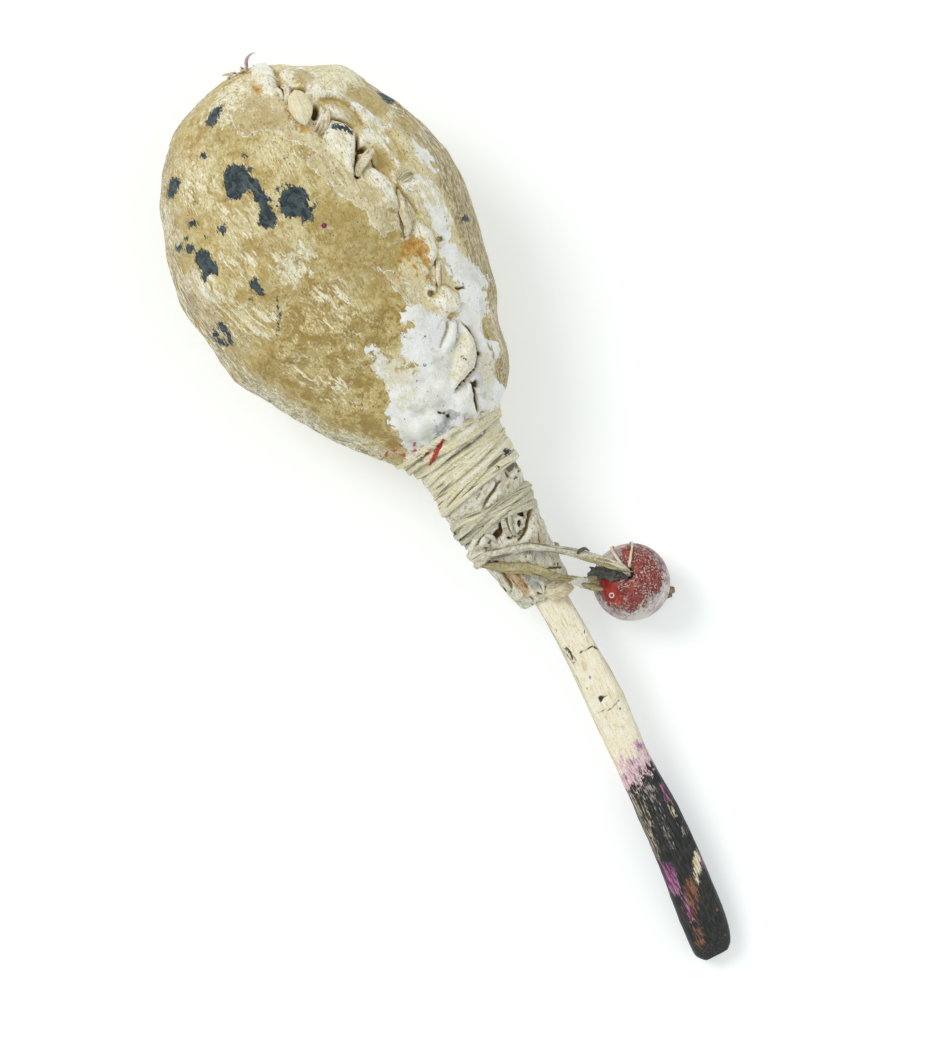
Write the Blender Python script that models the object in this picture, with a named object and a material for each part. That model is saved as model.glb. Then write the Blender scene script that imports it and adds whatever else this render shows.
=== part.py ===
"""A single hide rattle: a hollow rawhide head laced along one seam, bound on a whittled
stick, with pebbles inside and a bead hanging from a thong round its neck.

It lies on a table as it would be put down: +Z up, +Y from the handle towards the head,
origin on the table below the middle of the rattle. Tables and sizes are in millimetres,
and MM turns them into metres where a mesh or curve is made.
"""

import math

import bmesh
import bpy
import numpy as np
from mathutils import Matrix, Vector

MM = 0.001

# Driving dimensions, in millimetres.
GAP = 0.3  # clearance left between pieces that touch
WALL = 1.6  # thickness of the rawhide
TIP_Y = 141.0
CUFF_Y = -29.0  # where the skin ends on the stick
WIDEST_Y = 90.0
AXIS_Z_AT = (80.0, 33.5)  # a point on the head's axis, as y and z
AXIS_SLOPE = 0.147  # the head's axis rises towards the tip
STICK_Z_AT_0 = 22.9
STICK_SLOPE = 0.126
STICK_ENDS = (-144.2, 45.0)
STICK_CLEARANCE = 0.35
GATHER_TOP_Y = 20.0  # below it the gathered skin closes on the stick
GATHER_FADE = 12.0
STICK_SQUARENESS = 3.2  # exponent of the stick's rounded section; 2 is an ellipse
RING_SIDES = 28
STICK_SIDES = 20

# The head and neck: y, centre x, half width.
SKIN_STATIONS = [
    (-29, 11.2, 7.3),
    (-25, 10.3, 8.4),
    (-15, 9.6, 9.8),
    (-5, 8.3, 11.5),
    (5, 8.2, 12.4),
    (12, 8.6, 12.6),
    (20, 7.5, 13.4),
    (25, 5.6, 15.6),
    (30, 6.4, 21.7),
    (40, 4.4, 28.2),
    (50, 2.2, 32.6),
    (60, 1.2, 37.1),
    (70, 0.4, 40.2),
    (80, 0.3, 42.2),
    (90, 0.0, 43.4),
    (100, 0.1, 42.0),
    (110, 0.0, 39.0),
    (120, -0.6, 34.3),
    (130, -0.5, 26.6),
    (136, -0.6, 18.0),
    (141, 1.0, 0.0),
]
# Height of a section over its width: y, ratio.
SKIN_ROUNDNESS = [(-29, 0.95), (20, 1.0), (50, 0.86), (100, 0.84), (141, 0.9)]
# The handle: y, centre x, half width, half thickness.
STICK_STATIONS = [
    (-144.2, 6.6, 5.2, 3.6),
    (-135, 8.0, 6.5, 4.5),
    (-120, 9.5, 6.4, 4.6),
    (-100, 10.8, 6.0, 4.5),
    (-80, 11.1, 5.1, 4.4),
    (-60, 12.2, 5.2, 4.3),
    (-40, 12.0, 4.6, 4.1),
    (-20, 11.0, 4.8, 4.1),
    (0, 9.4, 5.0, 4.1),
    (20, 7.4, 4.9, 4.1),
    (45, 5.0, 4.2, 3.6),
]

# The seam runs over the upper right of the head: y, degrees from straight up.
SEAM_STATIONS = [
    (29, 8),
    (35, 24),
    (42, 43),
    (50, 43),
    (62, 33),
    (78, 32),
    (93, 30),
    (106, 26),
    (122, 22),
    (133, 20),
]
SEAM_TURNS = 11
SEAM_POINTS_A_TURN = 10
SEAM_REACH = 3.4  # from the seam to the awl holes
SEAM_LIFT = 2.5  # how far the thread stands off the middle of the skin
THREAD_RADIUS = 0.5
AWL_HOLE_RADIUS = 0.85

# Bindings: name, first y, last y, turns, strip width, tilt of the first and last turn.
BINDINGS = [
    ("upper_binding", 20.2, 8.4, 5, 2.4, 3.0, 2.4),
    ("lower_binding", 2.6, -4.6, 3, 2.1, 1.2, 0.8),
]
STRIP_THICKNESS = 1.1
BINDING_STEPS = 26

LEAF_SIZE = (5.6, 10.5, 1.1)
LEAF_PLACE = (122.0, 21.0, 4.6)  # y, degrees from straight up, height over the skin
LEAF_TURN = (-20.0, 24.0, 28.0)

THONG_RADIUS = 0.95
SWING_AXIS = (20.8, 27.0)  # x and z of the line that the pendant swings about
SWING_RELIEF = 2.0  # how far the tied part of each strand ends before that line

BEAD_CENTRE = (34.2, -36.2, 12.85)
BEAD_RADIUS = 10.85
BORE_RADIUS = 1.9
BORE_DIRECTION = (0.01, 0.277, 0.961)
CORE_RADIUS = 1.1
SINEW_RADIUS = 0.35

SINEW_FROM, SINEW_TO = 14.0, 152.0  # degrees from the bore's upper mouth
SINEW_AZIMUTHS = (88.0, 66.0)  # where the two sinews cross the bead, degrees from +X

# The tuft of fibres at the tip: x, y, z, radius.
TUFT = [
    (0.6, 142.3, 43.4, 0.7),
    (2.4, 142.9, 43.8, 1.3),
    (4.2, 143.1, 44.2, 1.1),
    (5.8, 143.8, 44.6, 0.4),
]
# The knot under the bead and its end, which sticks out beside it: x, y, z, radius.
END_KNOT = [
    (33.6, -37.4, 0.75, 0.75),
    (36.6, -39.8, 1.0, 1.0),
    (39.6, -42.3, 1.5, 1.5),
    (42.2, -44.0, 1.8, 1.8),
    (44.6, -45.4, 1.9, 0.6),
]
# The knot on the bead's near side and the dark strip from it to the bore: x, y, z, radius.
SIDE_KNOT = [(22.9, -31.3, 20.9, 0.9), (23.6, -31.6, 20.2, 1.5), (24.6, -31.7, 20.2, 1.2)]
DARK_STRIP = [(25.6, -31.9, 21.3), (28.0, -32.6, 23.7), (30.6, -33.4, 25.2)]
STRIP_RADIUS = 0.7

PEBBLE_GAP = 0.9  # over the floor
# Pebbles: x, y, half sizes.
PEBBLES = [
    (-10.3, 69.6, (4.2, 3.6, 3.2)),
    (-2.0, 66.5, (3.8, 4.0, 3.0)),
    (8.0, 68.5, (4.4, 3.5, 3.3)),
    (-7.5, 78.5, (4.0, 4.3, 3.5)),
    (3.0, 77.0, (4.5, 4.1, 3.4)),
    (12.0, 79.5, (3.6, 4.2, 3.0)),
    (-3.0, 88.5, (4.4, 3.9, 3.2)),
    (7.5, 88.0, (3.9, 4.4, 3.6)),
]


def smooth(table, at):
    """Value at `at` on a smooth curve through the rows of a table, each (place, value...)."""
    rows = np.array(table, float)
    places, values = rows[:, 0], rows[:, 1:]
    slopes = np.gradient(values, places, axis=0)
    i = int(np.clip(np.searchsorted(places, at) - 1, 0, len(places) - 2))
    step = places[i + 1] - places[i]
    t = min(max((at - places[i]) / step, 0.0), 1.0)
    t2, t3 = t * t, t * t * t
    return (
        (2 * t3 - 3 * t2 + 1) * values[i]
        + (t3 - 2 * t2 + t) * step * slopes[i]
        + (3 * t2 - 2 * t3) * values[i + 1]
        + (t3 - t2) * step * slopes[i + 1]
    )


def eased(t):
    t = min(max(t, 0.0), 1.0)
    return t * t * (3 - 2 * t)


def skin_section(y, grow=0.0):
    """Centre x, centre z, half width, half height and exponent of the skin's outside."""
    squared = [(place, x, half * half) for place, x, half in SKIN_STATIONS]
    x, half_squared = smooth(squared, y)
    half = math.sqrt(max(half_squared, 0.0))
    ratio = smooth(SKIN_ROUNDNESS, y)[0]
    z = AXIS_Z_AT[1] + AXIS_SLOPE * (y - AXIS_Z_AT[0])
    return np.array([x, z, half + grow, half * ratio + grow, 2.0])


def stick_section(y, grow=0.0):
    x, half, thick = smooth(STICK_STATIONS, y)
    z = STICK_Z_AT_0 + STICK_SLOPE * y
    return np.array([x, z, half + grow, thick + grow, STICK_SQUARENESS])


def chamber_section(y):
    """The inside of the skin: a hollow head that closes on the stick at the neck."""
    if y > WIDEST_Y:
        section = skin_section(y)
        widest = skin_section(WIDEST_Y)
        section[2] *= 1 - WALL / widest[2]
        section[3] *= 1 - WALL / widest[3]
    else:
        section = skin_section(y, -WALL)
    share = eased((y - GATHER_TOP_Y) / GATHER_FADE)
    return share * section + (1 - share) * stick_section(min(y, 44), STICK_CLEARANCE)


def chamber_y(y):
    """Where the inside's ring lies for the outside's ring at y, so the tip keeps its wall."""
    if y <= WIDEST_Y:
        return y
    return WIDEST_Y + (y - WIDEST_Y) * (1 - WALL / (TIP_Y - WIDEST_Y))


def ring(section, y, floor=0.0, sides=RING_SIDES):
    """Points of a section round its centre, none of them below the floor."""
    x, z, half, thick, power = section
    points = []
    for k in range(sides):
        a = 2 * math.pi * k / sides
        c, s = math.cos(a), math.sin(a)
        px = x + half * math.copysign(abs(c) ** (2 / power), c)
        pz = z + thick * math.copysign(abs(s) ** (2 / power), s)
        points.append((px, y, max(pz, floor)))
    return points


def on_skin(y, degrees, lift):
    """A point over the skin, `degrees` from straight up towards +X."""
    x, z, half, thick, _ = skin_section(y)
    a = math.radians(degrees)
    point = np.array([x + half * math.sin(a), y, z + thick * math.cos(a)])
    outward = np.array([math.sin(a) / half, 0.0, math.cos(a) / thick])
    return point + lift * outward / np.linalg.norm(outward)


def material(name, colour, roughness, metallic=0.0):
    made = bpy.data.materials.new(name)
    made.use_nodes = True
    shader = made.node_tree.nodes["Principled BSDF"]
    shader.inputs["Base Color"].default_value = (*colour, 1.0)
    shader.inputs["Roughness"].default_value = roughness
    shader.inputs["Metallic"].default_value = metallic
    return made


def add(name, data, collection, finish):
    """Puts a mesh or curve in the collection as one named, smoothly shaded object."""
    made = bpy.data.objects.new(name, data)
    collection.objects.link(made)
    data.materials.append(finish)
    if isinstance(data, bpy.types.Mesh):
        data.shade_smooth()
        data.set_sharp_from_angle(angle=math.radians(40))
    return made


def mesh_from(bm, name):
    bmesh.ops.recalc_face_normals(bm, faces=bm.faces)
    mesh = bpy.data.meshes.new(name)
    bm.to_mesh(mesh)
    bm.free()
    return mesh


def loft(name, rings, first_cap="flat", last_cap="flat"):
    """A closed mesh through rings of equally many points. A cap is flat, or a point."""
    bm = bmesh.new()
    made = [[bm.verts.new(Vector(p) * MM) for p in points] for points in rings]
    for low, high in zip(made, made[1:]):
        for k in range(len(low)):
            after = (k + 1) % len(low)
            bm.faces.new((low[k], low[after], high[after], high[k]))
    for points, cap in ((made[0], first_cap), (made[-1], last_cap)):
        if cap == "flat":
            bm.faces.new(points)
            continue
        tip = bm.verts.new(Vector(cap) * MM)
        for k in range(len(points)):
            bm.faces.new((points[k], points[(k + 1) % len(points)], tip))
    return mesh_from(bm, name)


def tube(name, points, radius, radii=None):
    """A round cord of straight steps, with closed ends. radii are shares of the radius."""
    curve = bpy.data.curves.new(name, "CURVE")
    curve.dimensions = "3D"
    curve.bevel_depth = radius * MM
    curve.bevel_resolution = 2
    curve.use_fill_caps = True
    spline = curve.splines.new("POLY")
    spline.points.add(len(points) - 1)
    for k, place in enumerate(points):
        spline.points[k].co = (*(np.array(place) * MM), 1.0)
        spline.points[k].radius = 1.0 if radii is None else radii[k]
    return curve


def as_mesh(curve_object):
    """The same shape as a closed mesh object, which a Boolean can use."""
    bpy.context.view_layer.update()
    graph = bpy.context.evaluated_depsgraph_get()
    mesh = bpy.data.meshes.new_from_object(curve_object.evaluated_get(graph))
    bm = bmesh.new()
    bm.from_mesh(mesh)
    bmesh.ops.remove_doubles(bm, verts=bm.verts, dist=1e-6)
    bmesh.ops.recalc_face_normals(bm, faces=bm.faces)
    bm.to_mesh(mesh)
    bm.free()
    made = bpy.data.objects.new(curve_object.name + "_solid", mesh)
    made.matrix_world = curve_object.matrix_world
    bpy.data.objects.remove(curve_object)
    return made


def curve_through(route, spacing):
    """Evenly spaced points on a smooth curve through a route's own points."""
    route = np.array(route, float)
    along = np.concatenate([[0], np.cumsum(np.linalg.norm(np.diff(route, axis=0), axis=1))])
    table = np.column_stack([along, route])
    count = max(3, round(along[-1] / spacing) + 1)
    return [smooth(table, at) for at in np.linspace(0, along[-1], count)]


def cut(target, cutter, cutters):
    cutters.objects.link(cutter)
    cutter.hide_render = True
    cutter.display_type = "WIRE"
    boolean = target.modifiers.new("cut_" + cutter.name, "BOOLEAN")
    boolean.operation = "DIFFERENCE"
    boolean.object = cutter


def skin_ring_places():
    """The y of each ring: even up the neck and body, closer together over the crown."""
    neck = [*np.linspace(CUFF_Y, 16.0, 12), *np.linspace(18.0, 34.0, 9)]
    body = list(np.linspace(41.0, 97.0, 9))
    crown = [97.0 + (TIP_Y - 97.0) * math.sin(k * math.pi / 16) for k in range(1, 8)]
    return neck + body + crown


def seam_path():
    """The lacing thread: a helix that crosses the seam outside and comes back inside."""
    first, last = SEAM_STATIONS[0][0], SEAM_STATIONS[-1][0]
    points = []
    steps = SEAM_TURNS * SEAM_POINTS_A_TURN
    for k in range(steps + 1):
        y = first + (last - first) * k / steps
        phase = 2 * math.pi * k / SEAM_POINTS_A_TURN - math.pi / 2
        _, _, half, _, _ = skin_section(y)
        across = math.degrees(SEAM_REACH * math.cos(phase) / half)
        lift = SEAM_LIFT * math.sin(phase) - WALL / 2
        points.append(on_skin(y, smooth(SEAM_STATIONS, y)[0] + across, lift))
    return points


def make_head(parts, cutters, rawhide, sinew):
    places = skin_ring_places()
    outside = [ring(skin_section(y), y) for y in places]
    inside = [ring(chamber_section(y), chamber_y(y), WALL) for y in places]
    tip_x, tip_z = skin_section(TIP_Y)[:2]
    chamber_tip = (tip_x, TIP_Y - WALL, tip_z)
    mesh = loft("head_skin", inside[::-1] + outside, chamber_tip, (tip_x, TIP_Y, tip_z))
    head = add("head_skin", mesh, parts, rawhide)

    path = seam_path()
    add("seam_thread", tube("seam_thread", path, THREAD_RADIUS), parts, sinew)
    holes = bpy.data.objects.new("awl_holes", tube("awl_holes", path, AWL_HOLE_RADIUS))
    parts.objects.link(holes)
    cut(head, as_mesh(holes), cutters)


def make_seam_leaf(parts, rawhide):
    """The leaf of rawhide that stands out of the seam near the crown."""
    bm = bmesh.new()
    bmesh.ops.create_uvsphere(bm, u_segments=14, v_segments=8, radius=0.5)
    mesh = mesh_from(bm, "seam_leaf")
    mesh.transform(Matrix.Diagonal((*(size * MM for size in LEAF_SIZE), 1.0)))
    leaf = add("seam_leaf", mesh, parts, rawhide)
    leaf.location = Vector(on_skin(*LEAF_PLACE)) * MM
    leaf.rotation_euler = [math.radians(turn) for turn in LEAF_TURN]


def make_stick(parts, wood):
    start, end = STICK_ENDS
    ease = 1.5
    rings = [ring(stick_section(start, -ease), start, sides=STICK_SIDES)]
    for y in (start + ease, *np.linspace(start + 9, end - 6, 18), end - ease):
        rings.append(ring(stick_section(y), y, sides=STICK_SIDES))
    rings.append(ring(stick_section(end, -ease), end, sides=STICK_SIDES))
    add("handle_stick", loft("handle_stick", rings), parts, wood)


def make_binding(spec, parts, sinew):
    """One flat strip wound round the neck: a rectangle swept along a helix."""
    name, first, last, turns, width, first_tilt, last_tilt = spec
    steps = turns * BINDING_STEPS
    half, low, high = width / 2, GAP, GAP + STRIP_THICKNESS
    rings = []
    for k in range(steps + 1):
        share = k / steps
        a = 2 * math.pi * k / BINDING_STEPS + math.pi
        tilt = first_tilt + (last_tilt - first_tilt) * share
        middle = first + (last - first) * share + tilt * math.cos(a)
        corners = ((-half, low), (half, low), (half, high), (-half, high))
        degrees = 90 - math.degrees(a)
        rings.append([on_skin(middle + side, degrees, lift) for side, lift in corners])
    add(name, loft(name, rings), parts, sinew)


def neck_arc(degrees, places, count):
    """Points round the neck, a thong's radius above the skin, between two angles."""
    turns, rows = np.linspace(*degrees, count), np.linspace(*places, count)
    return [on_skin(y, turn, THONG_RADIUS + GAP) for turn, y in zip(turns, rows)]


def add_thong(name, route, parts, finish, radius=THONG_RADIUS):
    add(name, tube(name, curve_through(route, 2.3 * radius), radius), parts, finish)


def make_thong(parts, hide):
    """The thong round the neck, and the two strands that lead from it to the bead."""
    x, z = SWING_AXIS
    tied_end = x - SWING_RELIEF
    add_thong("thong_neck_loop", neck_arc((-84, -256), (-10.8, -17.0), 12), parts, hide)
    upper = neck_arc((-66, 22), (-9.3, -14.5), 5) + [(tied_end, -18.5, z + 0.8)]
    add_thong("thong_upper_crossing", upper, parts, hide)
    lower = neck_arc((-66, 2), (-12.6, -20.5), 5) + [(tied_end, -28.0, z + 0.7)]
    add_thong("thong_lower_crossing", lower, parts, hide)
    upper = [(x, -19.6, z), (25.0, -23.5, 26.0), (29.3, -28.2, 25.8), (32.8, -31.6, 25.8)]
    add_thong("thong_upper_strand", upper, parts, hide)
    lower = [(x, -28.9, z), (21.8, -30.1, 25.0), (22.6, -31.0, 22.6)]
    add_thong("thong_lower_strand", lower, parts, hide)


def tapered(name, stations, parts, finish):
    """A round piece through stations of x, y, z and radius."""
    largest = max(radius for _, _, _, radius in stations)
    places = [station[:3] for station in stations]
    shares = [station[3] / largest for station in stations]
    return add(name, tube(name, places, largest, shares), parts, finish)


def make_bead(parts, cutters, glaze, hide, dark_hide, sinew):
    """The bead, the thong's core through it, its knots and the sinews that hug it."""
    centre, along = Vector(BEAD_CENTRE), Vector(BORE_DIRECTION).normalized()
    bm = bmesh.new()
    bmesh.ops.create_uvsphere(bm, u_segments=28, v_segments=18, radius=BEAD_RADIUS * MM)
    bead = add("bead", mesh_from(bm, "bead"), parts, glaze)
    bead.location = centre * MM
    bead.rotation_mode = "QUATERNION"
    bead.rotation_quaternion = along.to_track_quat("Z", "Y")
    bm = bmesh.new()
    depth = 2.4 * BEAD_RADIUS * MM
    bore = {"radius1": BORE_RADIUS * MM, "radius2": BORE_RADIUS * MM, "depth": depth}
    bmesh.ops.create_cone(bm, cap_ends=True, segments=16, **bore)
    cutter = bpy.data.objects.new("bead_bore", mesh_from(bm, "bead_bore"))
    cutter.location = bead.location
    cutter.rotation_mode = "QUATERNION"
    cutter.rotation_quaternion = bead.rotation_quaternion
    cut(bead, cutter, cutters)

    core = [centre + along * reach for reach in (BEAD_RADIUS + 0.6, -BEAD_RADIUS - 0.2)]
    add("bead_core_thong", tube("bead_core_thong", core, CORE_RADIUS), parts, hide)
    tapered("bead_side_knot", SIDE_KNOT, parts, hide)
    tapered("thong_end_knot", END_KNOT, parts, hide)
    add_thong("dark_strip", DARK_STRIP, parts, dark_hide, STRIP_RADIUS)
    for number, azimuth in enumerate(SINEW_AZIMUTHS, 1):
        a = math.radians(azimuth)
        level = Vector((math.cos(a), math.sin(a), 0.0))
        outward = (level - along * level.dot(along)).normalized()
        reach = BEAD_RADIUS + GAP + SINEW_RADIUS
        route = []
        for polar in np.radians(np.linspace(SINEW_FROM, SINEW_TO, 15)):
            route.append(centre + reach * (along * math.cos(polar) + outward * math.sin(polar)))
        name = f"bead_sinew_{number}"
        add(name, tube(name, route, SINEW_RADIUS), parts, sinew)


def resting_height(x, y, sizes):
    """The lowest centre height that keeps a pebble clear of the chamber's floor."""
    best = 0.0
    for share in (0.0, 0.3, 0.6, 0.9):
        under = sizes[2] * math.sqrt(1 - share * share)
        for a in np.radians(range(0, 360, 45)):
            px = x + share * math.cos(a) * sizes[0]
            py = y + share * math.sin(a) * sizes[1]
            cx, cz, half, thick, _ = chamber_section(py)
            inside = max(1 - ((px - cx) / half) ** 2, 0.0)
            floor = max(cz - thick * math.sqrt(inside), WALL)
            best = max(best, floor + under)
    return best + PEBBLE_GAP


def make_pebbles(parts, stone):
    for number, (x, y, sizes) in enumerate(PEBBLES, 1):
        bm = bmesh.new()
        bmesh.ops.create_icosphere(bm, subdivisions=2, radius=MM)
        mesh = mesh_from(bm, f"pebble_{number}")
        mesh.transform(Matrix.Diagonal((*sizes, 1.0)))
        pebble = add(f"pebble_{number}", mesh, parts, stone)
        pebble.location = Vector((x, y, resting_height(x, y, sizes))) * MM


def main():
    for old in list(bpy.data.objects):
        bpy.data.objects.remove(old, do_unlink=True)
    parts = bpy.data.collections.new("hide_rattle")
    cutters = bpy.data.collections.new("cutters")
    bpy.context.scene.collection.children.link(parts)
    bpy.context.scene.collection.children.link(cutters)

    rawhide = material("rawhide", (0.62, 0.50, 0.29), 0.55)
    sinew = material("sinew", (0.70, 0.64, 0.42), 0.75)
    hide = material("thong_hide", (0.52, 0.47, 0.33), 0.75)
    dark_hide = material("dark_hide", (0.06, 0.07, 0.08), 0.8)
    wood = material("whittled_wood", (0.80, 0.71, 0.53), 0.65)
    glaze = material("bead_red", (0.42, 0.05, 0.05), 0.45)
    stone = material("pebble_stone", (0.35, 0.32, 0.28), 0.7)

    make_head(parts, cutters, rawhide, sinew)
    make_seam_leaf(parts, rawhide)
    tapered("tip_tuft", TUFT, parts, sinew)
    make_stick(parts, wood)
    for spec in BINDINGS:
        make_binding(spec, parts, sinew)
    make_thong(parts, hide)
    make_bead(parts, cutters, glaze, hide, dark_hide, sinew)
    make_pebbles(parts, stone)


main()
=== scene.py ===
"""A rawhide hand rattle lying on a pale table: the looks of its laced head, bound neck,
whittled stick and the bead on its thong. Tables and sizes are in millimetres.
"""

import itertools
import math

import bpy
import numpy as np
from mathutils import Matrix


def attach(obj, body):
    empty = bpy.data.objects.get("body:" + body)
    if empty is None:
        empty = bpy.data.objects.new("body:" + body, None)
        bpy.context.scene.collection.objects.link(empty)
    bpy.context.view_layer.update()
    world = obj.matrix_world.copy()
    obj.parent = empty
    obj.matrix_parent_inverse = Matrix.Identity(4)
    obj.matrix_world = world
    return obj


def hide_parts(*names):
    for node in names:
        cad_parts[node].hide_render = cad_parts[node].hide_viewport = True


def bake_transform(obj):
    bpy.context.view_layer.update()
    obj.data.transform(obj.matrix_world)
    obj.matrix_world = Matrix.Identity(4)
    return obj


MM = 0.001
# What a painted field holds where it isn't painted: this many millimetres outside its marks.
OUTSIDE = -4.0

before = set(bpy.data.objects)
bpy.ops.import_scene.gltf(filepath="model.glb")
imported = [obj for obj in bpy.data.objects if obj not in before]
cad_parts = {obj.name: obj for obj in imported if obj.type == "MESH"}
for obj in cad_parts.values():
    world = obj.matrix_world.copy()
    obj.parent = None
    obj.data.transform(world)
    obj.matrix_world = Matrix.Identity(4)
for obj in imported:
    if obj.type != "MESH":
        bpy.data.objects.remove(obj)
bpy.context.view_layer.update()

# The head and neck: y, centre x, half width.
SKIN_STATIONS = [
    (-29, 11.2, 7.3),
    (-25, 10.3, 8.4),
    (-15, 9.6, 9.8),
    (-5, 8.3, 11.5),
    (5, 8.2, 12.4),
    (12, 8.6, 12.6),
    (20, 7.2, 13.6),
    (25, 5.8, 16.4),
    (30, 6.3, 21.7),
    (35, 5.6, 25.4),
    (40, 4.4, 28.2),
    (45, 3.3, 30.0),
    (50, 2.2, 32.4),
    (55, 2.2, 35.2),
    (60, 1.2, 37.2),
    (65, 0.3, 39.3),
    (70, 0.3, 40.2),
    (80, 0.3, 41.9),
    (90, 0.0, 43.4),
    (95, 0.1, 43.1),
    (100, 0.1, 41.9),
    (110, 0.0, 38.8),
    (120, -0.6, 34.3),
    (130, -0.5, 26.6),
    (135, -2.6, 18.6),
    (138, -0.8, 12.2),
    (141, 1.2, 0.0),
]
SKIN_ROUNDNESS = [(-29, 0.95), (20, 1.0), (50, 0.86), (100, 0.84), (141, 0.9)]
AXIS_Z_AT = (80.0, 33.5)
AXIS_SLOPE = 0.147
CUFF_Y, TIP_Y, WIDEST_Y = -29.0, 141.0, 90.0
WALL = 1.6
GATHER_TOP_Y, GATHER_FADE = 20.0, 12.0
STICK_Z_AT_0, STICK_SLOPE = 22.9, 0.126
STICK_CLEARANCE = 0.35
# The handle: y, centre x, half width, half thickness.
STICK_STATIONS = [
    (-144.2, 6.6, 5.2, 3.6),
    (-135, 8.0, 6.5, 4.5),
    (-120, 9.5, 6.4, 4.6),
    (-100, 10.8, 6.0, 4.5),
    (-80, 11.1, 5.1, 4.4),
    (-60, 12.2, 5.2, 4.3),
    (-40, 12.0, 4.6, 4.1),
    (-20, 11.0, 4.8, 4.1),
    (0, 9.4, 5.0, 4.1),
    (20, 7.4, 4.9, 4.1),
    (45, 5.0, 4.2, 3.6),
]


# ---------------------------------------------------------------- shapes in numbers
def smooth(table, at):
    """Values on a smooth curve through the rows of a table, at many places at once."""
    rows = np.array(table, float)
    places, values = rows[:, 0], rows[:, 1:]
    at = np.clip(np.atleast_1d(np.asarray(at, float)), places[0], places[-1])
    slopes = np.gradient(values, places, axis=0)
    i = np.clip(np.searchsorted(places, at) - 1, 0, len(places) - 2)
    step = (places[i + 1] - places[i])[:, None]
    t = (at - places[i])[:, None] / step
    t2, t3 = t * t, t * t * t
    return (
        (2 * t3 - 3 * t2 + 1) * values[i]
        + (t3 - 2 * t2 + t) * step * slopes[i]
        + (3 * t2 - 2 * t3) * values[i + 1]
        + (t3 - t2) * step * slopes[i + 1]
    )


def eased(value, low=0.0, high=1.0):
    """0 below one value, 1 above another, and a smooth way between."""
    t = np.clip((value - low) / (high - low), 0, 1)
    return t * t * (3 - 2 * t)


def hashed(corner, seed):
    """A number from -1 to 1 for each whole-number corner."""
    n = corner[..., 0] * 73856093 ^ corner[..., 1] * 19349663 ^ corner[..., 2] * 83492791
    n = (n ^ (seed * 374761393 + 668265263)) & 0xFFFFFFFF
    n = ((n ^ (n >> 15)) * 2246822519) & 0xFFFFFFFF
    n = ((n ^ (n >> 13)) * 3266489917) & 0xFFFFFFFF
    return ((n ^ (n >> 16)) & 0xFFFF) / 32767.5 - 1


def noise(points, sizes, seed=0):
    """Smooth noise from -1 to 1 whose lumps have about these sizes."""
    p = np.asarray(points, float) / np.asarray(sizes, float)
    base = np.floor(p).astype(np.int64)
    t = eased(p - base)
    total = np.zeros(len(p))
    for corner in itertools.product((0, 1), repeat=3):
        c = np.array(corner)
        total += np.prod(np.where(c == 1, t, 1 - t), axis=1) * hashed(base + c, seed)
    return total


def lumps(points, size, seed, octaves=3):
    """Noise with smaller lumps on its lumps, in millimetres."""
    sizes = np.asarray(size, float) * np.ones(3)
    parts = [noise(points, sizes / 2**k, seed + 7 * k) / 1.8**k for k in range(octaves)]
    return sum(parts)


def through(points, count):
    """Evenly spaced points on a smooth curve through a line's own points."""
    line = np.array(points, float)
    along = np.concatenate([[0], np.cumsum(np.linalg.norm(np.diff(line, axis=0), axis=1))])
    return smooth(np.column_stack([along, line]), np.linspace(0, along[-1], count))


def to_line(x, y, line):
    """Distance to a line in plan, positive on its left, and the place along it, 0 to 1."""
    points = np.array(line, float)
    lengths = np.linalg.norm(np.diff(points, axis=0), axis=1)
    starts = np.concatenate([[0], np.cumsum(lengths)])
    best = np.full(len(x), 1e9)
    side = np.ones(len(x))
    place = np.zeros(len(x))
    for k, ((ax, ay), (bx, by)) in enumerate(zip(points, points[1:])):
        dx, dy = bx - ax, by - ay
        t = np.clip(((x - ax) * dx + (y - ay) * dy) / (dx * dx + dy * dy), 0, 1)
        ox, oy = x - ax - t * dx, y - ay - t * dy
        distance = np.hypot(ox, oy)
        closer = distance < best
        best = np.where(closer, distance, best)
        side = np.where(closer, np.where(dx * oy - dy * ox >= 0, 1.0, -1.0), side)
        place = np.where(closer, (starts[k] + t * lengths[k]) / starts[-1], place)
    return best * side, place


def inside(x, y, outline):
    """Distance into a closed outline in plan: positive inside it."""
    points = np.array(outline, float)
    best = np.full(len(x), 1e9)
    odd = np.zeros(len(x), bool)
    for (ax, ay), (bx, by) in zip(points, np.roll(points, -1, axis=0)):
        dx, dy = bx - ax, by - ay
        t = np.clip(((x - ax) * dx + (y - ay) * dy) / (dx * dx + dy * dy), 0, 1)
        best = np.minimum(best, np.hypot(x - ax - t * dx, y - ay - t * dy))
        if dy:
            odd ^= ((ay > y) != (by > y)) & (x < dx * (y - ay) / dy + ax)
    return np.where(odd, best, -best)


def skin_sections(y):
    """Centre x, centre z, half width and half height of the skin's outside at each y."""
    squared = [(place, x, half * half) for place, x, half in SKIN_STATIONS]
    x, half_squared = smooth(squared, y).T
    half = np.sqrt(np.maximum(half_squared, 0.0))
    ratio = smooth(SKIN_ROUNDNESS, y)[:, 0]
    z = AXIS_Z_AT[1] + AXIS_SLOPE * (np.asarray(y) - AXIS_Z_AT[0])
    return x, z, half, half * ratio


def on_skin(y, degrees, lift):
    """Points over the skin, `degrees` from straight up towards +X, and their outward ways."""
    y, a, lift = np.broadcast_arrays(np.atleast_1d(np.asarray(y, float)), np.radians(degrees), lift)
    x, z, half, thick = skin_sections(y)
    outward = np.column_stack([np.sin(a) / half, np.zeros(len(a)), np.cos(a) / thick])
    outward /= np.linalg.norm(outward, axis=1)[:, None]
    points = np.column_stack([x + half * np.sin(a), y, z + thick * np.cos(a)])
    return points + lift[:, None] * outward, outward


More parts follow.
